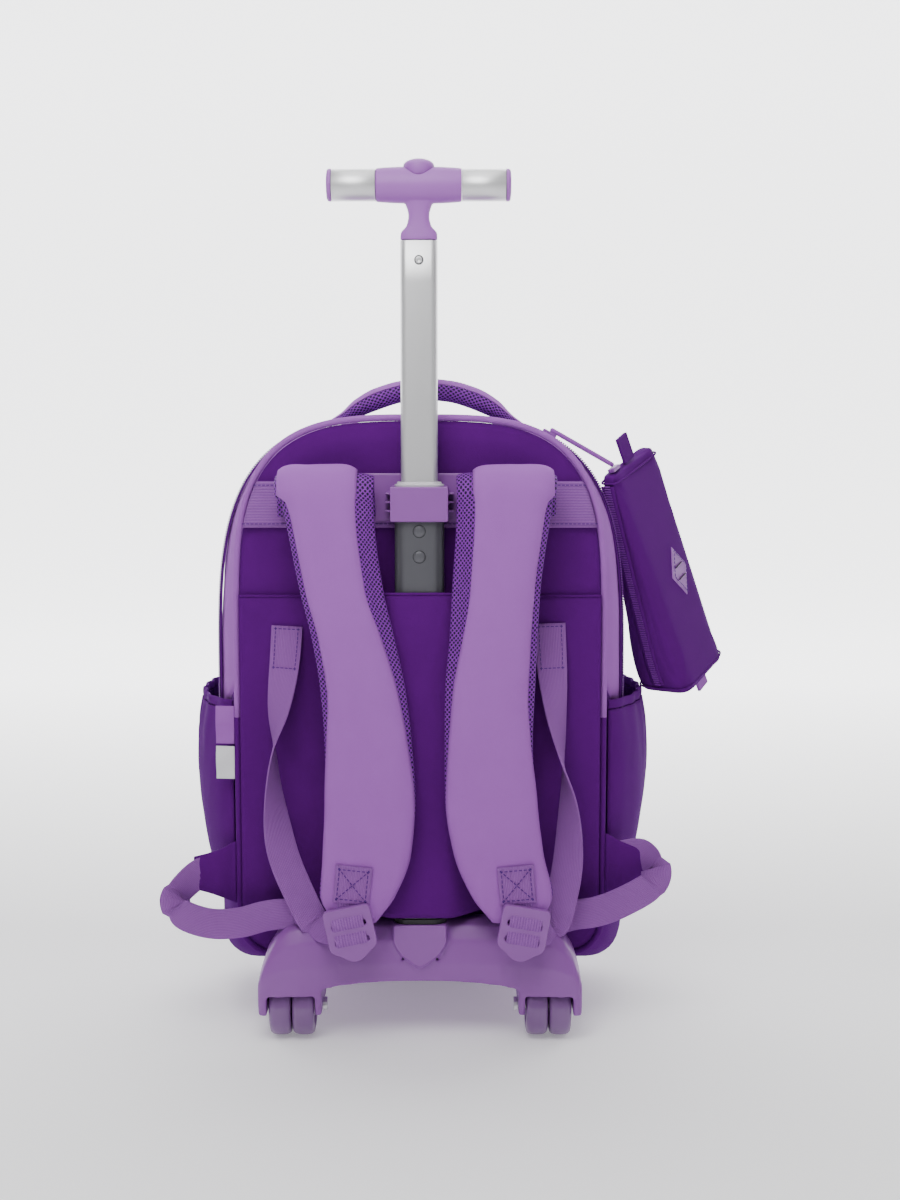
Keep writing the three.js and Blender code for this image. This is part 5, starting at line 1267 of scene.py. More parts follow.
class BagBody:
    """Gusset, front, bottom, back panel, piping and main zip."""

    def __init__(self, shop: Workshop) -> None:
        """Keeps the workshop and its sizes."""
        self.shop = shop
        self.shape = shop.shape
        self.front_seam = 0.86
        self.boot_height = 0.252
        self.wall = 0.0016
        self.zip_depth = 0.044
        self.zip_width = 0.009

    def depth_at(self, share: float) -> float:
        """Depth behind the panel's face at a share of the bag."""
        return mix(self.shape.rim_depth, self.shape.bag_depth, share)

    def ring(self, share: float) -> list[Vector]:
        """Ring of the cloth at a share of the depth, with its dents and soft unevenness."""
        depth = self.depth_at(share)
        section = self.shape.bag_section(depth)
        ring = section.ring(self.shape.face + depth)
        middle = Vector((0, self.shape.face + depth, self.shape.z(0.5)))
        for p in ring:
            out = Vector((p.x - middle.x, 0, p.z - middle.z)).normalized()
            for dent in GUSSET_DENTS:
                away = (share - dent["depth"]) * self.shape.bag_depth
                near = bell(math.hypot(away, p.z - self.shape.z(dent["height"])), dent["spread"])
                if p.x * dent["side"] > 0:
                    p.x -= dent["side"] * near * dent["hollow"]
            loose = smooth(clamp(share / 0.12)) * smooth(clamp((1.02 - share) / 0.14))
            lift = 0.0011 * ripple(p, 0.075, 3.0) + 0.00035 * ripple(p, 0.02, 5.0)
            p += out * lift * loose
        return ring

    def shares(self, low: float, high: float, count: int) -> list[float]:
        """Even shares of the depth."""
        return [mix(low, high, k / count) for k in range(count + 1)]

    def build(self) -> None:
        """Builds every piece of the bag's body."""
        shop, palette = self.shop, self.shop.palette
        rows = [self.ring(s) for s in self.shares(0.0, self.front_seam, 44)]
        reference = self.shape.bag_section(self.depth_at(0.3)).ring(0.0)
        cut = next(i for i, p in enumerate(reference) if p.z > self.boot_height and p.x > 0)
        count = len(reference)
        upper = [line[cut - 1 : count - cut + 2] for line in rows]
        lower = [line[count - cut + 1 :] + line[:cut] for line in rows]
        gusset = thicken(surface("gusset", upper), self.wall)
        shop.dress(gusset, palette.lavender, "lavender_cloth", ["bag_shell"])
        boot = thicken(surface("bag_bottom", lower), self.wall)
        shop.dress(boot, palette.violet, "violet_cloth", ["bag_shell"])
        self.build_front()
        self.build_panel()
        self.build_piping()
        self.build_zip()

    def build_front(self) -> None:
        """Rounded front with a piped seam."""
        shop, palette, shape = self.shop, self.shop.palette, self.shape
        rows = [self.ring(s) for s in self.shares(self.front_seam, 1.0, 12)]
        middle = Vector((0, shape.face + shape.bag_depth, shape.z(0.42)))
        edge = rows[-1]
        for k in range(1, 15):
            share = 1 - k / 15
            crown = 0.007 * (1 - share**2)
            line = []
            for p in edge:
                q = middle.lerp(p, share)
                q.y = middle.y + crown + 0.0012 * ripple(q, 0.09, 8.0)
                line.append(q)
            rows.append(line)
        front = thicken(surface("front_cloth", rows, wrap=True, caps=True), self.wall)
        bm = bmesh.new()
        bm.from_mesh(front.data)
        bm.faces.ensure_lookup_table()
        largest = max(bm.faces, key=lambda f: f.calc_area())
        bm.faces.remove(largest)
        bm.to_mesh(front.data)
        bm.free()
        shop.dress(front, palette.violet, "violet_cloth", ["bag_shell"])
        seam = [p.copy() for p in self.ring(self.front_seam)]
        piping = tube("front_piping", seam, 0.0021, 12, looped=True)
        shop.dress(piping, palette.lavender, "lavender_cloth")

    def build_panel(self) -> None:
        """Padded back panel with creases."""
        shop, palette, shape = self.shop, self.shop.palette, self.shape
        section = shape.panel_section()
        edge = section.ring(0.0)
        middle = Vector((0, 0, shape.z(0.5)))
        rows = []
        for k in range(1, 34):
            share = (k / 33) ** 0.8
            line = []
            for p in edge:
                q = middle.lerp(p, share)
                away = min((p - q).length, shape.half_width - abs(q.x))
                q.y = shape.face + self.panel_hollow(q, away)
                line.append(q)
            rows.append(line)
        rows.append([Vector((p.x, shape.face + shape.thick * 0.62, p.z)) for p in edge])
        rows.append([Vector((p.x * 0.998, shape.face + shape.thick, p.z)) for p in edge])
        panel = surface("panel_cloth", rows, wrap=True, caps=True, flip=True)
        weld(panel)
        shop.dress(panel, palette.violet, "violet_cloth", ["back_panel"])

    def panel_hollow(self, q: Vector, away: float) -> float:
        """How far the panel's face lies behind its plane."""
        shape = self.shape
        hollow = shape.thick * 0.42 * (1 - smooth(clamp(away / 0.016)))
        for c in PANEL_CREASES:
            x = q.x - c["across"] * shape.half_width
            line = shape.z(c["height"]) + c["tilt"] * x
            near = smooth(clamp(2 - 2 * abs(x) / (c["reach"] * shape.half_width)))
            hollow += bell(q.z - line, c["spread"]) * c["hollow"] * near
        return hollow + 0.0008 * (1 + ripple(q, 0.06, 1.0)) * smooth(clamp(away / 0.02))

    def build_piping(self) -> None:
        """Cloth-covered cord round the panel."""
        shape = self.shape
        radius = 0.0027
        low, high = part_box("back_piping")
        route = shape.panel_section().ring((low.y + high.y) / 2, -(GAP + 0.0025))
        start = next(i for i, p in enumerate(route) if p.z > self.boot_height and p.x > 0)
        count = len(route)
        upper = tube("panel_piping", route[start : count - start + 1], radius, 14)
        self.shop.dress(upper, self.shop.palette.lavender, "lavender_cloth", ["back_piping"])
        lower = tube("panel_piping_low", route[count - start :] + route[: start + 1], radius, 14)
        self.shop.dress(lower, self.shop.palette.violet, "violet_cloth", ["back_piping"])

    def zip_line(self, depth: float, lift: float) -> list[Vector]:
        """The zip's line over the gusset at a depth, from its right end to its left."""
        section = self.shape.bag_section(depth)
        ring = section.ring(self.shape.face + depth, -lift)
        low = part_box("main_zip")[0].z
        count = len(ring)
        start = next(i for i in range(count // 2) if ring[i].z > low)
        return ring[start : count - start + 1]

    def build_zip(self) -> None:
        """Tape, coil and slider of the main zip."""
        shop, palette = self.shop, self.shop.palette
        depths = [self.zip_depth + self.zip_width * (k / 6 - 0.5) for k in range(7)]
        lines = [self.zip_line(d, 0.0017 + 0.0004 * (1 - abs(k - 3) / 3)) for k, d in enumerate(depths)]
        tape = thicken(surface("zip_tape", [list(p) for p in zip(*lines)], flip=True), 0.001)
        shop.dress(tape, palette.violet, "violet_cloth", ["main_zip"])
        middle = self.zip_line(self.zip_depth, 0.0025)
        coil = shop.bars.along(
            "zip_coil", [middle], palette.teeth, 0.0021, 0.0052, 0.0007, Turn.FIXED, Vector((0, 1, 0))
        )
        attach(coil, "bag")
        slider = moulded(copy_of(shop.frame, "main_zip_slider", "zip_slider"), 0.0006, 6)
        shop.dress(slider, palette.plastic, "lavender_plastic", ["main_zip_slider"])


class Sleeve:
    """Cloth sleeve over the outer tube and the webbing band above it."""

    def __init__(self, shop: Workshop) -> None:
        """Keeps the workshop and its sizes."""
        self.shop = shop
        self.low, self.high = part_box("cover_panel")
        outer_low, outer_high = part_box("outer_tube")
        self.flat = (outer_high.x - outer_low.x) / 2 + 0.001
        self.reach = shop.shape.face - outer_low.y + 2 * GAP
        self.spread = 0.042
        self.rise = 0.005
        self.wall = 0.002

    def point(self, u: float, v: float) -> Vector:
        """Outer face of the sleeve at shares across and up."""
        shape = self.shop.shape
        side = 2 * u - 1
        x = side * shape.half_width
        t = clamp((abs(x) - self.flat) / self.spread)
        reach = mix(self.reach, GAP, smooth(t))
        rise = self.rise * reach / self.reach
        top = self.high.z - self.rise
        z = mix(self.low.z, top + rise, v)
        loose = smooth(clamp((1 - abs(side)) / 0.2)) * (0.35 + 0.65 * v)
        fold = 0.0022 * loose * ripple(Vector((x, 0, z * 0.45)), 0.045, 11.0)
        sag = 0.004 * bell(abs(x) - 0.062, 0.016) * v
        return Vector((x, shape.face - reach - self.wall + sag * 0.3 - fold - 0.0004, z))

    def build(self) -> None:
        """Builds the sleeve, its hem, and the band with its stitches."""
        shop, palette = self.shop, self.shop.palette
        grid = [[self.point(i / 96, j / 60) for j in range(61)] for i in range(97)]
        cloth = thicken(surface("sleeve_cloth", grid), self.wall)
        shop.dress(cloth, palette.violet, "violet_cloth", ["cover_panel"])
        hem_grid = []
        for i in range(97):
            line = []
            for k in range(13):
                angle = math.pi * (k / 12)
                p = self.point(i / 96, 1.0)
                inward = Vector((0, 1, 0)) * 0.0022 * (1 - math.cos(angle)) / 2 * 1.6
                line.append(p + inward + Vector((0, -0.0006, 0.0016 * math.sin(angle) - 0.0004)))
            hem_grid.append(line)
        hem = thicken(surface("sleeve_hem", hem_grid), 0.0008)
        shop.dress(hem, palette.violet, "violet_cloth")
        self.build_band()

    def build_band(self) -> None:
        """Wide webbing across the panel, stitched along both edges."""
        shop, shape = self.shop, self.shop.shape
        low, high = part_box("load_band")
        section = shape.panel_section()
        thick = 0.0018
        grid = []
        for i in range(61):
            u = 2 * i / 60 - 1
            line = []
            for j in range(13):
                z = mix(low.z, high.z, j / 12)
                x = u * (section.half_width_at(z) - GAP)
                wave = 0.0006 * ripple(Vector((x, 0, z)), 0.05, 21.0)
                line.append(Vector((x, low.y - 0.0004 + wave, z)))
            grid.append(line)
        band = thicken(surface("band_webbing", grid), thick)
        shop.dress(band, shop.palette.webbing, "lavender_cloth", ["load_band"])
        rows = [[line[k] + Vector((0, -0.0002, 0)) for line in grid] for k in (1, 11)]
        shop.stitches("band_stitches", rows)


class PullHandle:
    """Plate, collar, telescoping tubes and the T-grip."""

    def __init__(self, shop: Workshop) -> None:
        """Keeps the workshop and its sizes."""
        self.shop = shop
        self.y = shop.shape.tube_y

    def oval_tube(self, name: str, node: str, wall: float, tip: float) -> bpy.types.Object:
        """Flat-oval tube in a node's box, with eased ends."""
        low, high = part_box(node)
        width, thick = high.x - low.x, high.y - low.y
        rings = []
        profile = [(low.z, -wall), (low.z, -tip), (low.z + tip, 0.0)]
        profile += [(mix(low.z, high.z, k / 12), 0.0) for k in range(1, 12)]
        profile += [(high.z - tip, 0.0), (high.z, -tip), (high.z, -wall)]
        profile += [(mix(high.z, low.z, k / 12), -wall) for k in range(1, 12)]
        for z, offset in profile:
            rings.append([Vector((x, self.y + y, z)) for x, y in oval(width, thick, offset)])
        rings.append([p.copy() for p in rings[0]])
        obj = surface(name, rings, wrap=True)
        weld(obj)
        return obj

    def build(self) -> None:
        """Builds the tubes and their fittings."""
        shop, palette = self.shop, self.shop.palette
        outer = self.oval_tube("outer_sleeve_tube", "outer_tube", 0.0016, 0.0003)
        shop.dress(outer, palette.grey, "grey_tube", ["outer_tube"])
        middle = self.oval_tube("middle_slide_tube", "middle_tube", 0.0016, 0.0003)
        shop.dress(middle, palette.silver, "silver_tube", ["middle_tube"], "middle_stage")
        inner = self.oval_tube("inner_slide_tube", "inner_tube", 0.0016, 0.0003)
        shop.dress(inner, palette.silver, "silver_tube", ["inner_tube"], "handle")
        self.build_bush()
        self.build_marks()
        for node, name in (("bracket_plate", "plate"), ("tube_collar", "collar")):
            piece = moulded(copy_of(shop.frame, node, name), 0.00075, 4)
            shop.dress(piece, palette.plastic, "lavender_plastic", [node])
        shop.keep("tube_ring", palette.black)
        self.build_grip()

    def build_bush(self) -> None:
        """Stepped milky bush at the tube's mouth."""
        low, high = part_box("tube_bush")
        inner_low, inner_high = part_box("inner_tube")
        width, thick = high.x - low.x, high.y - low.y
        bore_width, bore_thick = inner_high.x - inner_low.x, inner_high.y - inner_low.y
        step = mix(low.z, high.z, 0.55)
        rings = []
        for z, offset in ((low.z, 0.0), (low.z, 0.0024), (step, 0.0024), (step + 0.0003, 0.0008), (high.z, 0.0002)):
            rings.append([Vector((x, self.y + y, z)) for x, y in oval(width, thick, offset)])
        for z in (high.z, low.z):
            rings.append([Vector((x, self.y + y, z)) for x, y in oval(bore_width, bore_thick, 0.0003)])
        rings.append([p.copy() for p in rings[0]])
        obj = surface("mouth_bush", rings, wrap=True)
        weld(obj)
        self.shop.dress(bevel(obj, 0.0003), self.shop.palette.clear, "clear_plastic", ["tube_bush"], "middle_stage")

    def build_marks(self) -> None:
        """Lock pins in the outer tube, each with a thin black ring round it as painted shade in the gap of its hole,
        and the inner tube's screw with a ring of the same painted shade.
        """
        shop, palette = self.shop, self.shop.palette
        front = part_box("outer_tube")[0].y
        to_front = Matrix.Rotation(math.pi / 2, 4, "X")
        for node, name in (("lock_pin_upper", "pin_upper"), ("lock_pin_lower", "pin_lower")):
            low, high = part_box(node)
            radius = (high.x - low.x) / 2
            place = Matrix.Translation((0, front, (low.z + high.z) / 2)) @ to_front
            profile = [(0, -0.0014), (radius, -0.0014), (radius, 0.0), (radius * 0.9, 0.0003), (0, 0.0004)]
            pin = lathe(name, profile, place)
            shop.dress(pin, palette.grey, "grey_tube", [node])
            # Painted shade: a thin black ring stands for the dark gap round the pin.
            rim = [(radius + 0.0002, -0.001), (radius + 0.0002, 0.0002), (radius + 0.0006, 0.0002),
                   (radius + 0.0006, -0.001), (radius + 0.0002, -0.001)]
            shop.dress(lathe(name + "_rim", rim, place), palette.black, "black_rubber")
        low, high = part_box("tube_screw")
        radius = (high.x - low.x) / 2
        place = Matrix.Translation((0, low.y, (low.z + high.z) / 2)) @ to_front
        profile = [(0, -0.001), (radius, -0.001), (radius, 0.0), (radius * 0.85, 0.0005), (radius * 0.5, 0.0008),
                   (radius * 0.42, 0.0002), (0, 0.0002)]
        screw = lathe("handle_screw", profile, place)
        shop.dress(screw, palette.silver, "silver_tube", ["tube_screw"], "handle")
        # Painted shade: a thin black ring stands for the dark gap round the screw.
        rim = [(radius, -0.001), (radius, 0.0003), (radius + 0.0006, 0.0003), (radius + 0.0006, -0.001),
               (radius, -0.001)]
        shop.dress(lathe("screw_shade_ring", rim, place), palette.black, "black_rubber", body="handle")

    def build_grip(self) -> None:
        """Moulded T-grip with metal sleeves, end caps and a button."""
        shop, palette = self.shop, self.shop.palette
        low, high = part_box("grip_sleeve_right")
        sleeve_radius = (high.y - low.y) / 2
        middle = Vector((0, self.y, (low.z + high.z) / 2))
        barrel_half = low.x - GAP
        body_low, body_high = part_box("grip_body")
        barrel_radius = (body_high.y - body_low.y) / 2
        on_x = Matrix.Translation(middle) @ Matrix.Rotation(math.pi / 2, 4, "Y")
        profile = [(0.0, -barrel_half)]
        for k in range(25):
            a = 2 * k / 24 - 1
            swell = (1 - abs(a) ** 2.2) ** 0.9
            profile.append((mix(sleeve_radius + 0.0004, barrel_radius, swell), a * barrel_half))
        profile.append((0.0, barrel_half))
        barrel = lathe("grip_barrel", profile, on_x, 64)
        inner_low, inner_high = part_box("inner_tube")
        width, thick = inner_high.x - inner_low.x, inner_high.y - inner_low.y
        bottom = inner_high.z + GAP
        height = middle.z - barrel_radius * 0.35 - bottom
        rings = []
        for k in range(25):
            s = row(NECK_SECTIONS, "height", k / 24)
            ring = [
                Vector((a * s["wide"] * width / 2, self.y + b * s["thick"] * thick / 2, bottom + k / 24 * height))
                for a, b in superellipse(40, 2.8)
            ]
            rings.append(ring)
        neck = surface("grip_neck", rings, wrap=True, caps=True)
        weld(neck)
        grip = moulded(joined("grip_moulding", [barrel, neck]), 0.0008, 5)
        self.cut_pocket(grip)
        shop.dress(grip, palette.gloss, "lavender_plastic", ["grip_body"], "handle")
        for side, sign in (("left", -1), ("right", 1)):
            self.build_side(side, sign, middle, sleeve_radius)
        self.build_button(middle)

    def cut_pocket(self, grip: bpy.types.Object) -> None:
        """Cuts the button's pocket in the grip."""
        low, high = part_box("grip_button")
        radius = (high.x - low.x) / 2 + 0.0004
        floor = low.z - 0.0046
        place = Matrix.Translation((0, self.y, floor))
        cutter = lathe("pocket_cutter", [(0, 0), (radius, 0), (radius, 0.04), (0, 0.04)], place, 48)
        cut = grip.modifiers.new("Pocket", "BOOLEAN")
        cut.operation = "DIFFERENCE"
        cut.solver = "EXACT"
        cut.object = cutter
        settled(grip)
        bpy.data.objects.remove(cutter)

    def build_side(self, side: str, sign: int, middle: Vector, radius: float) -> None:
        """Metal sleeve and end cap on one side of the grip."""
        shop, palette = self.shop, self.shop.palette
        low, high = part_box(f"grip_sleeve_{side}")
        near, far = sorted((abs(low.x), abs(high.x)))
        cap_step = 0.0034
        far += cap_step
        turn = Matrix.Translation(middle) @ Matrix.Rotation(sign * math.pi / 2, 4, "Y")
        inner = radius - 0.0012
        sleeve = [(inner, near), (radius - 0.0003, near), (radius, near + 0.0003), (radius, far - 0.0003),
                  (radius - 0.0003, far), (inner, far), (inner, near)]
        piece = lathe(f"metal_sleeve_{side}", sleeve, turn, 64)
        shop.dress(piece, palette.silver, "silver_tube", [f"grip_sleeve_{side}"], "handle")
        low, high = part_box(f"grip_cap_{side}")
        near, far = sorted((abs(low.x), abs(high.x)))
        near += cap_step
        cap = [(0, near), (radius, near), (radius + 0.0002, near + 0.0006), (radius, mix(near, far, 0.55)),
               (radius * 0.96, mix(near, far, 0.78)), (radius * 0.86, mix(near, far, 0.93)),
               (radius * 0.7, far), (0, far)]
        piece = lathe(f"end_cap_{side}", cap, turn, 64)
        shop.dress(piece, palette.gloss, "lavender_plastic", [f"grip_cap_{side}"], "handle")

    def build_button(self, middle: Vector) -> None:
        """Domed button."""
        low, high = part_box("grip_button")
        radius = (high.x - low.x) / 2
        place = Matrix.Translation((middle.x, middle.y, low.z))
        rise = high.z - low.z
        profile = [(0, 0), (radius, 0), (radius, rise * 0.62)]
        for k in range(1, 9):
            angle = math.pi / 2 * k / 8
            profile.append((radius * math.cos(angle), rise * (0.62 + 0.38 * math.sin(angle))))
        button = lathe("push_button", profile, place, 56)
        self.shop.dress(button, self.shop.palette.gloss, "lavender_plastic", ["grip_button"], "button")


class Base:
    """Moulded base with its wheels, axles and the front foot."""

    def __init__(self, shop: Workshop) -> None:
        """Keeps the workshop."""
        self.shop = shop

    def build(self) -> None:
        """Builds the base, the foot, the axles and the wheels."""
        shop, palette = self.shop, self.shop.palette
        base = moulded(copy_of(shop.frame, "wheel_base", "base_moulding"), 0.0015, 9)
        shop.dress(base, palette.plastic, "lavender_plastic", ["wheel_base"])
        foot = moulded(copy_of(shop.frame, "front_foot", "foot_rail"), 0.001, 3)
        lowest = min(v.co.z for v in foot.data.vertices)
        for v in foot.data.vertices:
            v.co.z -= lowest * (1 - clamp(v.co.z / 0.02))
        shop.dress(foot, palette.plastic, "lavender_plastic", ["front_foot"])
        for side in ("left", "right"):
            shop.keep(f"wheel_axle_{side}", palette.silver)
            for place in ("inner", "outer"):
                self.build_wheel(side, place)

    def build_wheel(self, side: str, place: str) -> None:
        """One wheel: rounded tread, dished sides with a raised hub."""
        node = f"wheel_{side}_{place}"
        low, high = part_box(node)
        radius, half = (high.z - low.z) / 2, (high.x - low.x) / 2
        bore = 0.0043
        outline = [(bore, -0.9), (0.3, -0.92), (0.34, -0.7), (0.62, -0.62), (0.7, -0.9), (0.78, -1.0), (0.9, -0.93),
                   (0.965, -0.75), (0.992, -0.5), (1.0, -0.25)]
        near = [(r if r == bore else r * radius, a * half) for r, a in outline]
        far = [(r, -a) for r, a in reversed(near)]
        profile = [*near, *far, near[0]]
        turn = Matrix.Translation((low + high) / 2) @ Matrix.Rotation(math.pi / 2, 4, "Y")
        wheel = lathe(f"roller_{side}_{place}", profile, turn, 72)
        body = f"wheel_{side}_{place}"
        self.shop.dress(wheel, self.shop.palette.wheel, "lavender_plastic", [node], body)


class Strap:
    """One shoulder strap with its webbing, buckle and seam triangle."""

    def __init__(self, shop: Workshop, side: str, table: Table, tail: Table, anchor: Table, turn: float) -> None:
        """Keeps the workshop, the side's tables, the buckle's turn in degrees and the strap's sizes."""
        self.shop = shop
        self.side = side
        self.turn = turn
        self.table, self.tail, self.anchor = table, tail, anchor
        self.standoff = 0.0405
        self.end_standoff = 0.045
        self.fold_radius = 0.0135
        self.fold_z = 0.44
        self.root = 0.018
        self.thick = 0.009
        self.webbing_width = 0.025
        self.webbing_thick = 0.0016

    def stations(self) -> list[tuple[float, float, dict[str, float]]]:
        """Standoff, height and table row at each station from the root over the fold and down."""
        shape = self.shop.shape
        root = self.standoff - 2 * self.fold_radius
        top = self.table[-1]
        found = [(root, self.fold_z - self.root * (1 - k / 3), top) for k in range(3)]
        for k in range(17):
            angle = math.pi * k / 16
            out = root + self.fold_radius * (1 - math.cos(angle))
            found.append((out, self.fold_z + self.fold_radius * math.sin(angle), top))
        high = (self.fold_z - shape.bottom) / shape.height
        for k in range(1, 73):
            height = mix(high, self.table[0]["height"], k / 72)
            out = mix(self.standoff, self.end_standoff, k / 72)
            found.append((out, shape.z(height), row(self.table, "height", height)))
        return found

    def edges(self, bare: float, inset: float = 0.0) -> tuple[list[Vector], list[Vector]]:
        """Left and right edge lines; bare 1 leaves the side strips free."""
        shape = self.shop.shape
        lefts, rights = [], []
        for out, z, s in self.stations():
            left = (s["left"] + s["bare_left"] * bare) * shape.half_width + inset
            right = (s["right"] - s["bare_right"] * bare) * shape.half_width - inset
            lefts.append(Vector((left, shape.face - out, z)))
            rights.append(Vector((right, shape.face - out, z)))
        return lefts, rights

    def build(self) -> None:
        """Builds the strap and everything on it."""
        self.build_pad()
        self.build_face()
        self.build_webbing()
        self.build_end()
        self.build_triangle()

    def build_pad(self) -> None:
        """Padding under air mesh."""
        shop = self.shop
        lefts, rights = self.edges(0.0)
        pad = strip(f"pad_{self.side}", lefts, rights, superellipse(44, 3.4), self.thick)
        weld(pad)
        puff(pad, 0.0016, pressure=3.0)
        shop.dress(pad, shop.palette.mesh, "violet_mesh", [f"strap_pad_{self.side}"])

    def face_rows(self) -> Grid:
        """Points of the face cloth, crowned over the padding."""
        lefts, rights = self.edges(1.0)
        middles = [(a + b) / 2 for a, b in zip(lefts, rights)]
        last = len(middles) - 1
        rows: Grid = []
        for i, middle in enumerate(middles):
            across = rights[i] - lefts[i]
            forward = middles[min(i + 1, last)] - middles[max(i - 1, 0)]
            normal = forward.cross(across).normalized()
            line = []
            for k in range(29):
                a = 2 * k / 28 - 1
                crown = 0.0034 * (1 - abs(a) ** 5) - 0.0012 * abs(a) ** 12
                p = middle + across * a / 2
                soft = 0.0011 * ripple(p, 0.045, 31.0) * (1 - a * a)
                line.append(p + normal * (self.thick / 2 + 0.0008 + crown + soft))
            rows.append(line)
        return rows

    def build_face(self) -> None:
        """Smooth cloth over the outer side."""
        shop = self.shop
        face = surface(f"face_{self.side}", self.face_rows(), flip=True)
        thicken(face, 0.0014, -1.0)
        shop.dress(face, shop.palette.lavender, "lavender_cloth", [f"strap_face_{self.side}"])

    def route(self, table: Table, steps: int) -> tuple[list[Vector], list[Vector]]:
        """Edge lines of a twisted webbing."""
        shape = self.shop.shape
        points = [
            Vector((s["across"] * shape.half_width, shape.face - s["out"] * self.standoff, shape.z(s["height"])))
            for s in table
        ]
        line = spline(points, steps)
        turns = spline([Vector((s["turn"], 0, 0)) for s in table], steps)
        lefts, rights = [], []
        before = None
        for i, p in enumerate(line):
            forward = (line[min(i + 1, steps)] - line[max(i - 1, 0)]).normalized()
            level = abs(forward.z) < 0.72
            across = Vector((0, 0, 1)) if level else Vector((0, -1, 0)).cross(forward)
            across = (across - forward * across.dot(forward)).normalized()
            if level and forward.x > 0:
                across.negate()
            across = Matrix.Rotation(math.radians(turns[i].x), 3, forward) @ across
            if before is not None and across.dot(before) < 0:
                across.negate()
            before = across
            bunched = 1 - 0.3 * smooth(clamp(9 * i / steps - 8))
            lefts.append(p - across * self.webbing_width / 2 * bunched)
            rights.append(p + across * self.webbing_width / 2 * bunched)
        return lefts, rights

    def build_webbing(self) -> None:
        """Tail from the panel to the buckle and webbing from the seam to it."""
        shop = self.shop
        section = superellipse(20, 7.0)
        for name, table, steps in ((f"tail_{self.side}", self.tail, 70), (f"anchor_{self.side}", self.anchor, 64)):
            lefts, rights = self.route(table, steps)
            piece = strip(name, lefts, rights, section, self.webbing_thick)
            weld(piece)
            node = name.replace("tail_", "tail_webbing_").replace("anchor_", "anchor_webbing_")
            shop.dress(piece, shop.palette.fine_webbing, "lavender_cloth", [node])
            if table is self.tail:
                self.build_tail_stitches(lefts, rights)

    def build_tail_stitches(self, lefts: Sequence[Vector], rights: Sequence[Vector]) -> None:
        """Box of stitches that sews the tail's top end to the panel."""
        lift = Vector((0, -self.webbing_thick / 2 - 0.0003, 0))
        first, last = 1, 9
        sides = [[lefts[i].lerp(rights[i], a) + lift for i in range(first, last + 1)] for a in (0.14, 0.86)]
        ends = [[lefts[i].lerp(rights[i], mix(0.14, 0.86, k / 6)) + lift for k in range(7)] for i in (first, last)]
        self.shop.stitches(f"tail_stitches_{self.side}", [*sides, *ends])

    def build_end(self) -> None:
        """Buckle and the webbing tab behind it."""
        shop, palette = self.shop, self.shop.palette
        low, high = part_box(f"strap_tab_{self.side}")
        section = superellipse(20, 7.0)
        top = high.z + 0.006
        lefts, rights = [], []
        for k in range(11):
            z = mix(top, low.z, k / 10)
            width = min(self.webbing_width, high.x - low.x) / 2
            x = (low.x + high.x) / 2
            lefts.append(Vector((x - width, low.y, z)))
            rights.append(Vector((x + width, low.y, z)))
        tab = strip(f"tab_{self.side}", lefts, rights, section, self.webbing_thick)
        weld(tab)
        shop.dress(tab, palette.webbing, "lavender_cloth", [f"strap_tab_{self.side}"])
        buckle = moulded(copy_of(shop.frame, f"strap_buckle_{self.side}", f"ladder_{self.side}"), 0.0006, 4)
        shop.dress(buckle, palette.plastic, "lavender_plastic", [f"strap_buckle_{self.side}"])
        self.build_patch(Vector(((low.x + high.x) / 2, low.y - 0.0016, high.z - 0.006)))
        self.build_woven()

    def build_patch(self, middle: Vector) -> None:
        """Square of webbing sewn over the tab's top with a box and a cross."""
        shop = self.shop
        tilt = Matrix.Rotation(math.radians(-self.turn * 0.5), 3, "Y")
        half = 0.0145

        def place(a: float, b: float, lift: float = 0.0) -> Vector:
            """Point of the patch at shares across and up."""
            pillow = 0.0007 * (1 - a**4) * (1 - b**4)
            return middle + tilt @ Vector((a * half, -pillow - lift, b * half * 1.05))

        grid = [[place(i / 10 - 1, j / 10 - 1) for j in range(21)] for i in range(21)]
        patch = thicken(surface(f"sewn_patch_{self.side}", [list(p) for p in zip(*grid)], flip=True), 0.0014)
        shop.dress(patch, shop.palette.fine_webbing, "lavender_cloth")
        box = 0.78
        corners = [(-box, -box), (box, -box), (box, box), (-box, box), (-box, -box)]
        lines = [(a, b) for a, b in zip(corners, corners[1:])] + [(corners[0], corners[2]), (corners[1], corners[3])]
        paths = [
            [place(mix(a[0], b[0], k / 8), mix(a[1], b[1], k / 8), 0.0004) for k in range(9)] for a, b in lines
        ]
        shop.stitches(f"patch_stitches_{self.side}", paths)

    def build_woven(self) -> None:
        """Webbing that bulges through the buckle's two slots."""
        low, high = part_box(f"strap_buckle_{self.side}")
        middle = Vector(((low.x + high.x) / 2, high.y, (low.z + high.z) / 2))
        thick = high.y - low.y
        turn = Matrix.Rotation(math.radians(self.turn), 3, "Y")
        half = Vector((self.webbing_width / 2, 0, 0))
        bulge = [(0.0052, 0.3), (0.0044, 0.85), (0.0026, 1.14), (0.0, 1.24), (-0.0026, 1.14), (-0.0044, 0.85),
                 (-0.0052, 0.3)]
        for name, centre in (("upper", 0.0079), ("lower", -0.0052)):
            path = spline([Vector((0, -out * thick, centre + z)) for z, out in bulge], 24)
            lefts = [middle + turn @ (p - half) for p in path]
            rights = [middle + turn @ (p + half) for p in path]
            woven = strip(f"woven_{name}_{self.side}", lefts, rights, superellipse(20, 7.0), self.webbing_thick)
            weld(woven)
            self.shop.dress(woven, self.shop.palette.webbing, "lavender_cloth")

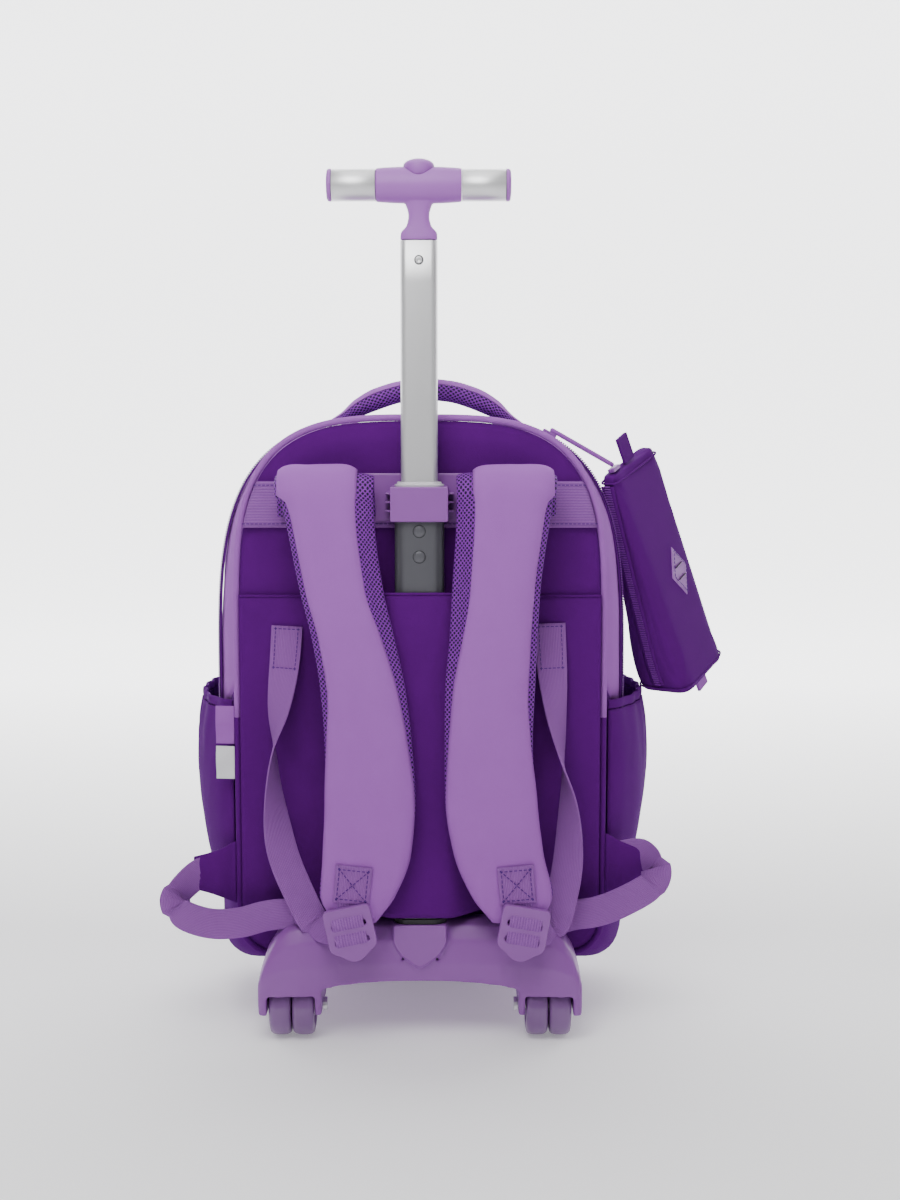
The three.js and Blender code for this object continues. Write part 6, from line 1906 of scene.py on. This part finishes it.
    def build_triangle(self) -> None:
        """Cloth triangle in the side seam."""
        shop = self.shop
        node = f"anchor_triangle_{self.side}"
        low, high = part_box(node)
        near, far = (high.x, low.x) if self.side == "left" else (low.x, high.x)
        middle, half = (low.z + high.z) / 2, (high.z - low.z) / 2
        tip = 0.0135
        rings = []
        for k in range(25):
            a = k / 24
            reach = mix(half, tip, a) - 0.0015 * math.sin(math.pi * a)
            thick = 0.0012 + 0.0016 * smooth(clamp(a * 2.4)) - 0.0006 * smooth(clamp(a * 8 - 7))
            x = mix(near, far, a)
            seam, tape = (low.y + high.y) / 2, shop.shape.face + 0.0014
            y = mix(seam, tape, smooth(clamp(a * 2.2))) + 0.0004 * ripple(Vector((x, 0, middle)), 0.02, 51.0)
            rings.append([Vector((x, y + b * thick, middle + c * reach)) for c, b in superellipse(28, 5.0)])
        piece = surface(f"seam_triangle_{self.side}", rings, wrap=True, caps=True)
        weld(piece)
        shop.dress(piece, shop.palette.violet, "violet_cloth", [node])


class SidePocket:
    """One gathered side pocket with its elastic hem."""

    def __init__(self, shop: Workshop, side: str) -> None:
        """Keeps the workshop, the side and the pocket's sizes."""
        self.shop = shop
        self.side = side
        self.sign = -1 if side == "left" else 1
        self.back, self.front = 0.014, 0.168
        low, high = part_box(f"side_pocket_{side}")
        self.low, self.high = low.z, high.z
        self.bulge = 0.017
        self.wall = 0.0016

    def point(self, u: float, v: float, out: float = 0.0) -> Vector:
        """Outward face at shares of the depth and height."""
        shape = self.shop.shape
        depth = mix(self.back, self.front, u)
        s = row(POCKET_SECTIONS, "height", clamp(v))
        round_off = math.sin(math.pi * clamp(u, 0.0005, 0.9995)) ** 0.55
        gather = math.sin(TAU * 7 * u) * 0.0013 * v**4 * round_off
        fold = 0.0022 * ripple(Vector((u * 0.16, 0, v * 0.05)), 0.03, 40.0 + self.sign) * round_off * smooth(v)
        x = shape.bag_section(depth).half_width + 0.0009 + s["out"] * round_off * self.bulge + gather + fold
        z = mix(self.low, self.high, v)
        return Vector((self.sign * (x + self.wall + out), shape.face + depth, z))

    def build(self) -> None:
        """Builds the pocket and its hem."""
        shop = self.shop
        flip = self.sign < 0
        grid = [[self.point(i / 90, j / 48) for j in range(49)] for i in range(91)]
        cloth = thicken(surface(f"pocket_{self.side}", grid, flip=not flip), self.wall)
        shop.dress(cloth, shop.palette.violet, "violet_cloth", [f"side_pocket_{self.side}"])
        low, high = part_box(f"pocket_hem_{self.side}")
        rows = []
        for i in range(91):
            line = []
            for k in range(17):
                angle = TAU * k / 16
                p = self.point(i / 90, 1.0)
                p.x += self.sign * (0.0014 * math.cos(angle) - 0.0002)
                p.z = mix(low.z, high.z, 0.5 - 0.5 * math.copysign(abs(math.sin(angle)) ** 0.6, math.sin(angle)))
                line.append(p)
            rows.append(line)
        hem = surface(f"hem_{self.side}", rows, flip=flip)
        weld(hem)
        shop.dress(hem, shop.palette.violet, "violet_cloth", [f"pocket_hem_{self.side}"])


class CarryHandle:
    """Padded carry handle: lavender above, air mesh below."""

    def __init__(self, shop: Workshop) -> None:
        """Keeps the workshop and the handle's sizes."""
        self.shop = shop
        low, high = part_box("carry_handle")
        self.offset = (low.x + high.x) / 2
        self.span = 0.158
        self.y = (low.y + high.y) / 2
        self.top = high.z
        self.thick, self.width = 0.017, 0.02
        self.end_thick, self.end_width = 0.004, 0.026
        self.arch = 0.007
        self.seam = math.radians(32)

    def middle(self, s: dict[str, float]) -> Vector:
        """Middle of the handle at a row of its table."""
        shape = self.shop.shape
        section = shape.bag_section(self.y - shape.face)
        x = self.offset + s["along"] * self.span
        seat = section.crown_at(x) + self.end_thick / 2 + 2 * GAP - 0.0009
        crest = self.top - self.thick / 2 + self.arch
        return Vector((x, self.y, mix(seat, crest, s["rise"])))

    def build(self) -> None:
        """Builds both halves, which meet along a seam line."""
        shop, palette = self.shop, self.shop.palette
        rows = [row(HANDLE_SECTIONS, "along", mix(-0.5, 0.5, k / 64)) for k in range(65)]
        line = [self.middle(s) for s in rows]
        halves = ((True, "handle_cover", palette.lavender, "lavender_cloth", "carry_handle"),
                  (False, "handle_mesh", palette.mesh, "violet_mesh", "carry_handle_mesh"))
        for upper, name, material, slot, node in halves:
            rings = []
            for i, s in enumerate(rows):
                forward = (line[min(i + 1, 64)] - line[max(i - 1, 0)]).normalized()
                lift = forward.cross(Vector((0, 1, 0)))
                thick = mix(self.end_thick, self.thick, s["swell"]) / 2
                width = mix(self.end_width, self.width, s["swell"]) / 2
                ring = []
                for k in range(19):
                    seam = self.seam if upper else -self.seam
                    angle = mix(seam, math.pi - seam, k / 18)
                    rise = (1 if upper else -1) * (thick * math.sin(angle) + GAP / 2)
                    ring.append(line[i] + Vector((0, width * math.cos(angle), 0)) + lift * rise)
                rings.append(ring)
            half = surface(name, rings, wrap=True, caps=True, flip=not upper)
            weld(half)
            shop.dress(half, material, slot, [node])


class PencilCase:
    """Soft wedge that hangs from the main zip's pull."""

    axis = Vector((0.343, 0.196, -0.919)).normalized()
    across = Vector((0.51, 0.81, 0.3)).normalized()
    inward = Vector((-0.86, 0.5, 0.02)).normalized()

    def __init__(self, shop: Workshop) -> None:
        """Keeps the workshop and the case's sizes."""
        self.shop = shop
        self.length, self.face, self.side = 0.205, 0.084, 0.047
        shape = shop.shape
        depth = 0.042
        z = shape.z(0.893)
        x = shape.bag_section(depth).half_width_at(z) + 0.018
        self.corner = Vector((x, shape.face + depth, z))

    def point(self, along: float, side: float, face: float, lift: float = 0.0) -> Vector:
        """Point of the case at shares along it, into its side and across its face."""
        s = row(POUCH_SECTIONS, "along", along)
        p = self.corner + self.axis * along * self.length
        p += self.inward * (side * s["side"] * self.side - lift)
        return p + self.across * (0.5 + (face - 0.5) * s["face"]) * self.face

    def in_frame(self, middle: Vector) -> Matrix:
        """Frame with X along the case, Y into its side and Z across its face."""
        inward = self.across.cross(self.axis).normalized()
        across = self.axis.cross(inward).normalized()
        turn = Matrix((self.axis, inward, across)).transposed().to_4x4()
        return Matrix.Translation(middle) @ turn

    def ring(self, along: float, inset: float = 0.0) -> list[Vector]:
        """Ring of the case at a share of its length."""
        s = row(POUCH_SECTIONS, "along", along)
        a, b = s["side"] * self.side / 2 - inset, s["face"] * self.face / 2 - inset
        middle = self.point(along, 0.5, 0.5)
        return [middle + self.inward * u * a + self.across * v * b for u, v in superellipse(72, 6.0)]

    def build(self) -> None:
        """Builds the case and its trim."""
        shop, palette = self.shop, self.shop.palette
        rows = []
        for k in range(4):
            line = self.ring(0.0, 0.002)
            middle = sum(line, Vector()) / len(line)
            rows.append([middle.lerp(p, (k + 1) / 5) for p in line])
        rows += [self.ring(0.0, 0.0008)] + [self.ring(mix(0.004, 0.996, k / 46)) for k in range(47)]
        rows += [self.ring(1.0, 0.0008)]
        for k in reversed(range(4)):
            line = self.ring(1.0, 0.002)
            middle = sum(line, Vector()) / len(line)
            rows.append([middle.lerp(p, (k + 1) / 5) for p in line])
        case = surface("case_cloth", rows, wrap=True, caps=True)
        weld(case)
        puff(case, 0.0013, pressure=3.5)
        refine(case)
        shop.dress(case, palette.violet, "violet_cloth", ["pouch_shell"])
        for name, along in (("case_seam_top", 0.03), ("case_seam_end", 0.975)):
            seam = tube(name, self.ring(along, -0.0007), 0.0009, 8, looped=True)
            shop.dress(seam, palette.violet, "violet_cloth")
        self.build_zip()
        self.build_patch()
        self.build_tabs()

    def build_zip(self) -> None:
        """Zip down the case's left face, with its slider and the cord loop."""
        shop, palette = self.shop, self.shop.palette
        lines = []
        for k in range(5):
            shift = (k / 4 - 0.5) * 0.011
            lines.append([
                self.point(mix(0.04, 0.95, i / 60), 0.5, 0.0) + self.inward * shift - self.across * 0.0012
                for i in range(61)
            ])
        tape = thicken(surface("case_zip_tape", [list(p) for p in zip(*lines)]), 0.0008)
        shop.dress(tape, palette.violet, "violet_cloth", ["pouch_zip"])
        middle = [p - self.across * 0.0012 for p in lines[2]]
        coil = shop.bars.along(
            "case_zip_coil", [middle], palette.teeth, 0.0021, 0.005, 0.0007, Turn.FIXED, self.inward
        )
        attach(coil, "bag")
        slider = moulded(copy_of(shop.frame, "pouch_slider", "case_slider"), 0.0006, 5)
        shop.dress(slider, palette.plastic, "lavender_plastic", ["pouch_slider"])
        loop = copy_of(shop.frame, "pull_loop", "cord_loop")
        swell = loop.modifiers.new("Swell", "DISPLACE")
        swell.strength, swell.mid_level = 0.0008, 0.0
        refine(loop, 2)
        shop.dress(loop, palette.lavender, "lavender_cloth", ["pull_loop"])

    def build_patch(self) -> None:
        """Rubber diamond with a groove round it and two slits, each slit a flat black strip of painted shade."""
        shop = self.shop
        patch = bevel(copy_of(shop.frame, "pouch_patch", "diamond_patch"), 0.0005)
        shop.dress(patch, shop.palette.gloss, "lavender_plastic", ["pouch_patch"])
        place = self.in_frame(self.point(0.52, 0, 0.62, 0.0026))
        long, wide = 0.023 * 0.82, 0.015 * 0.82
        corners = [(long, 0), (0, wide), (-long, 0), (0, -wide)]
        groove = [place @ Vector((x, -0.0002, z)) for x, z in corners]
        ring = [a.lerp(b, k / 8) for a, b in zip(groove, groove[1:] + groove[:1]) for k in range(8)]
        shop.stitches("diamond_stitches", [ring + ring[:1]])
        # Painted shade: each slit is a black strip standing for the dark inside of the cut.
        for name, x in (("slit_upper", -0.0055), ("slit_lower", 0.0055)):
            ends = [place @ Vector((x, -0.0001, z)) for z in (-0.0062, -0.003, 0.003, 0.0062)]
            shop.dress(tube(name, ends, 0.0008, 10, squash=0.5), shop.palette.black, "black_rubber")

    def build_tabs(self) -> None:
        """Cloth tabs at the case's ends."""
        shop, palette = self.shop, self.shop.palette
        tabs = (("pouch_top_tab", "case_top_tab", palette.violet, "violet_cloth"),
                ("pouch_end_tab", "case_end_tab", palette.lavender, "lavender_cloth"))
        for node, name, material, slot in tabs:
            piece = bevel(copy_of(shop.frame, node, name), 0.0006)
            shop.dress(piece, material, slot, [node])


class Labels:
    """Bare labels in the left side seam."""

    def __init__(self, shop: Workshop) -> None:
        """Keeps the workshop."""
        self.shop = shop

    def build(self) -> None:
        """Builds both labels, each with a soft wave."""
        palette = self.shop.palette
        rows = (("loop_label", "seam_loop", palette.lavender, "lavender_cloth"),
                ("care_label", "seam_tape", palette.white, "white_tape"))
        for node, name, material, slot in rows:
            low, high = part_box(node)
            grid = []
            for i in range(15):
                line = []
                for j in range(15):
                    x = mix(high.x, low.x, i / 14)
                    z = mix(low.z, high.z, j / 14)
                    wave = 0.0016 * math.sin(7 * j / 14 + i / 14) * (i / 14)
                    line.append(Vector((x, low.y + wave, z)))
                grid.append(line)
            piece = thicken(surface(name, grid), 0.0008)
            self.shop.dress(piece, material, slot, [node])


class Studio:
    """Camera, light and floor."""

    def __init__(self, palette: Palette, shape: Shape) -> None:
        """Keeps the floor's finish and the panel's place."""
        self.palette = palette
        self.distance = 1.333
        self.eye = Vector((0.024, shape.face - self.distance, 0.501))
        self.pitch = math.radians(6.3)
        self.lens = 50.16

    def build(self) -> None:
        """Builds the whole studio."""
        camera = bpy.data.cameras.new("Camera")
        camera.lens = self.lens
        camera.sensor_width = 36.0
        camera.sensor_fit = "AUTO"
        view = bpy.data.objects.new("Camera", camera)
        view.location = self.eye
        view.rotation_euler = (math.pi / 2 - self.pitch, 0, 0)
        bpy.context.scene.collection.objects.link(view)
        bpy.context.scene.camera = view
        self.build_floor()
        self.build_lights()

    def build_floor(self) -> None:
        """Pale sweep: a floor that curves up into a wall."""
        profile = [(-9.0, 0.0), (2.2, 0.0)]
        profile += [
            (2.2 + 1.6 * math.sin(math.pi / 2 * k / 16), 1.6 - 1.6 * math.cos(math.pi / 2 * k / 16))
            for k in range(1, 17)
        ]
        profile.append((3.8, 7.0))
        grid = [[Vector((x, y, z - 0.0002)) for y, z in profile] for x in (-9.0, 9.0)]
        floor = surface("studio_sweep", grid)
        floor.data.materials.append(self.palette.backdrop)

    def build_lights(self) -> None:
        """Large soft lights and an even surround."""
        world = bpy.data.worlds.new("Surround")
        world.use_nodes = True
        world.node_tree.nodes["Background"].inputs["Color"].default_value = (0.95, 0.95, 0.97, 1.0)
        world.node_tree.nodes["Background"].inputs["Strength"].default_value = 0.2
        bpy.context.scene.world = world
        lamps = (
            ("Key", (-0.12, -0.8, 1.04), 0.5, 6.0),
            ("Overhead", (0.0, -0.3, 1.5), 0.9, 6.0),
            ("Front left", (-1.3, -1.5, 1.5), 1.0, 2.6),
            ("Front right", (1.4, -1.4, 1.4), 1.0, 1.8),
            ("Behind", (0.0, 1.5, 1.7), 1.6, 12.0),
        )
        target = Vector((0.0, -0.12, 0.42))
        for name, place, size, power in lamps:
            light = bpy.data.lights.new(name, "AREA")
            light.shape = "SQUARE"
            light.size = size
            light.energy = power
            lamp = bpy.data.objects.new(name, light)
            lamp.location = place
            lamp.rotation_euler = (target - Vector(place)).to_track_quat("-Z", "Y").to_euler()
            bpy.context.scene.collection.objects.link(lamp)


def main() -> None:
    """Builds the backpack, sub-assembly by sub-assembly."""
    logging.basicConfig(level=logging.INFO, format="%(name)s: %(message)s")
    for thing in list(bpy.data.objects):
        bpy.data.objects.remove(thing)
    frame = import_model()
    shop = Workshop(frame, Shape(), Palette(), BarTree())
    Studio(shop.palette, shop.shape).build()
    BagBody(shop).build()
    Sleeve(shop).build()
    PullHandle(shop).build()
    Base(shop).build()
    Strap(shop, "left", STRAP_LEFT, TAIL_LEFT, ANCHOR_LEFT, turn=-12).build()
    Strap(shop, "right", STRAP_RIGHT, TAIL_RIGHT, ANCHOR_RIGHT, turn=10).build()
    for side in ("left", "right"):
        SidePocket(shop, side).build()
    CarryHandle(shop).build()
    PencilCase(shop).build()
    Labels(shop).build()


if __name__ == "__main__":
    main()
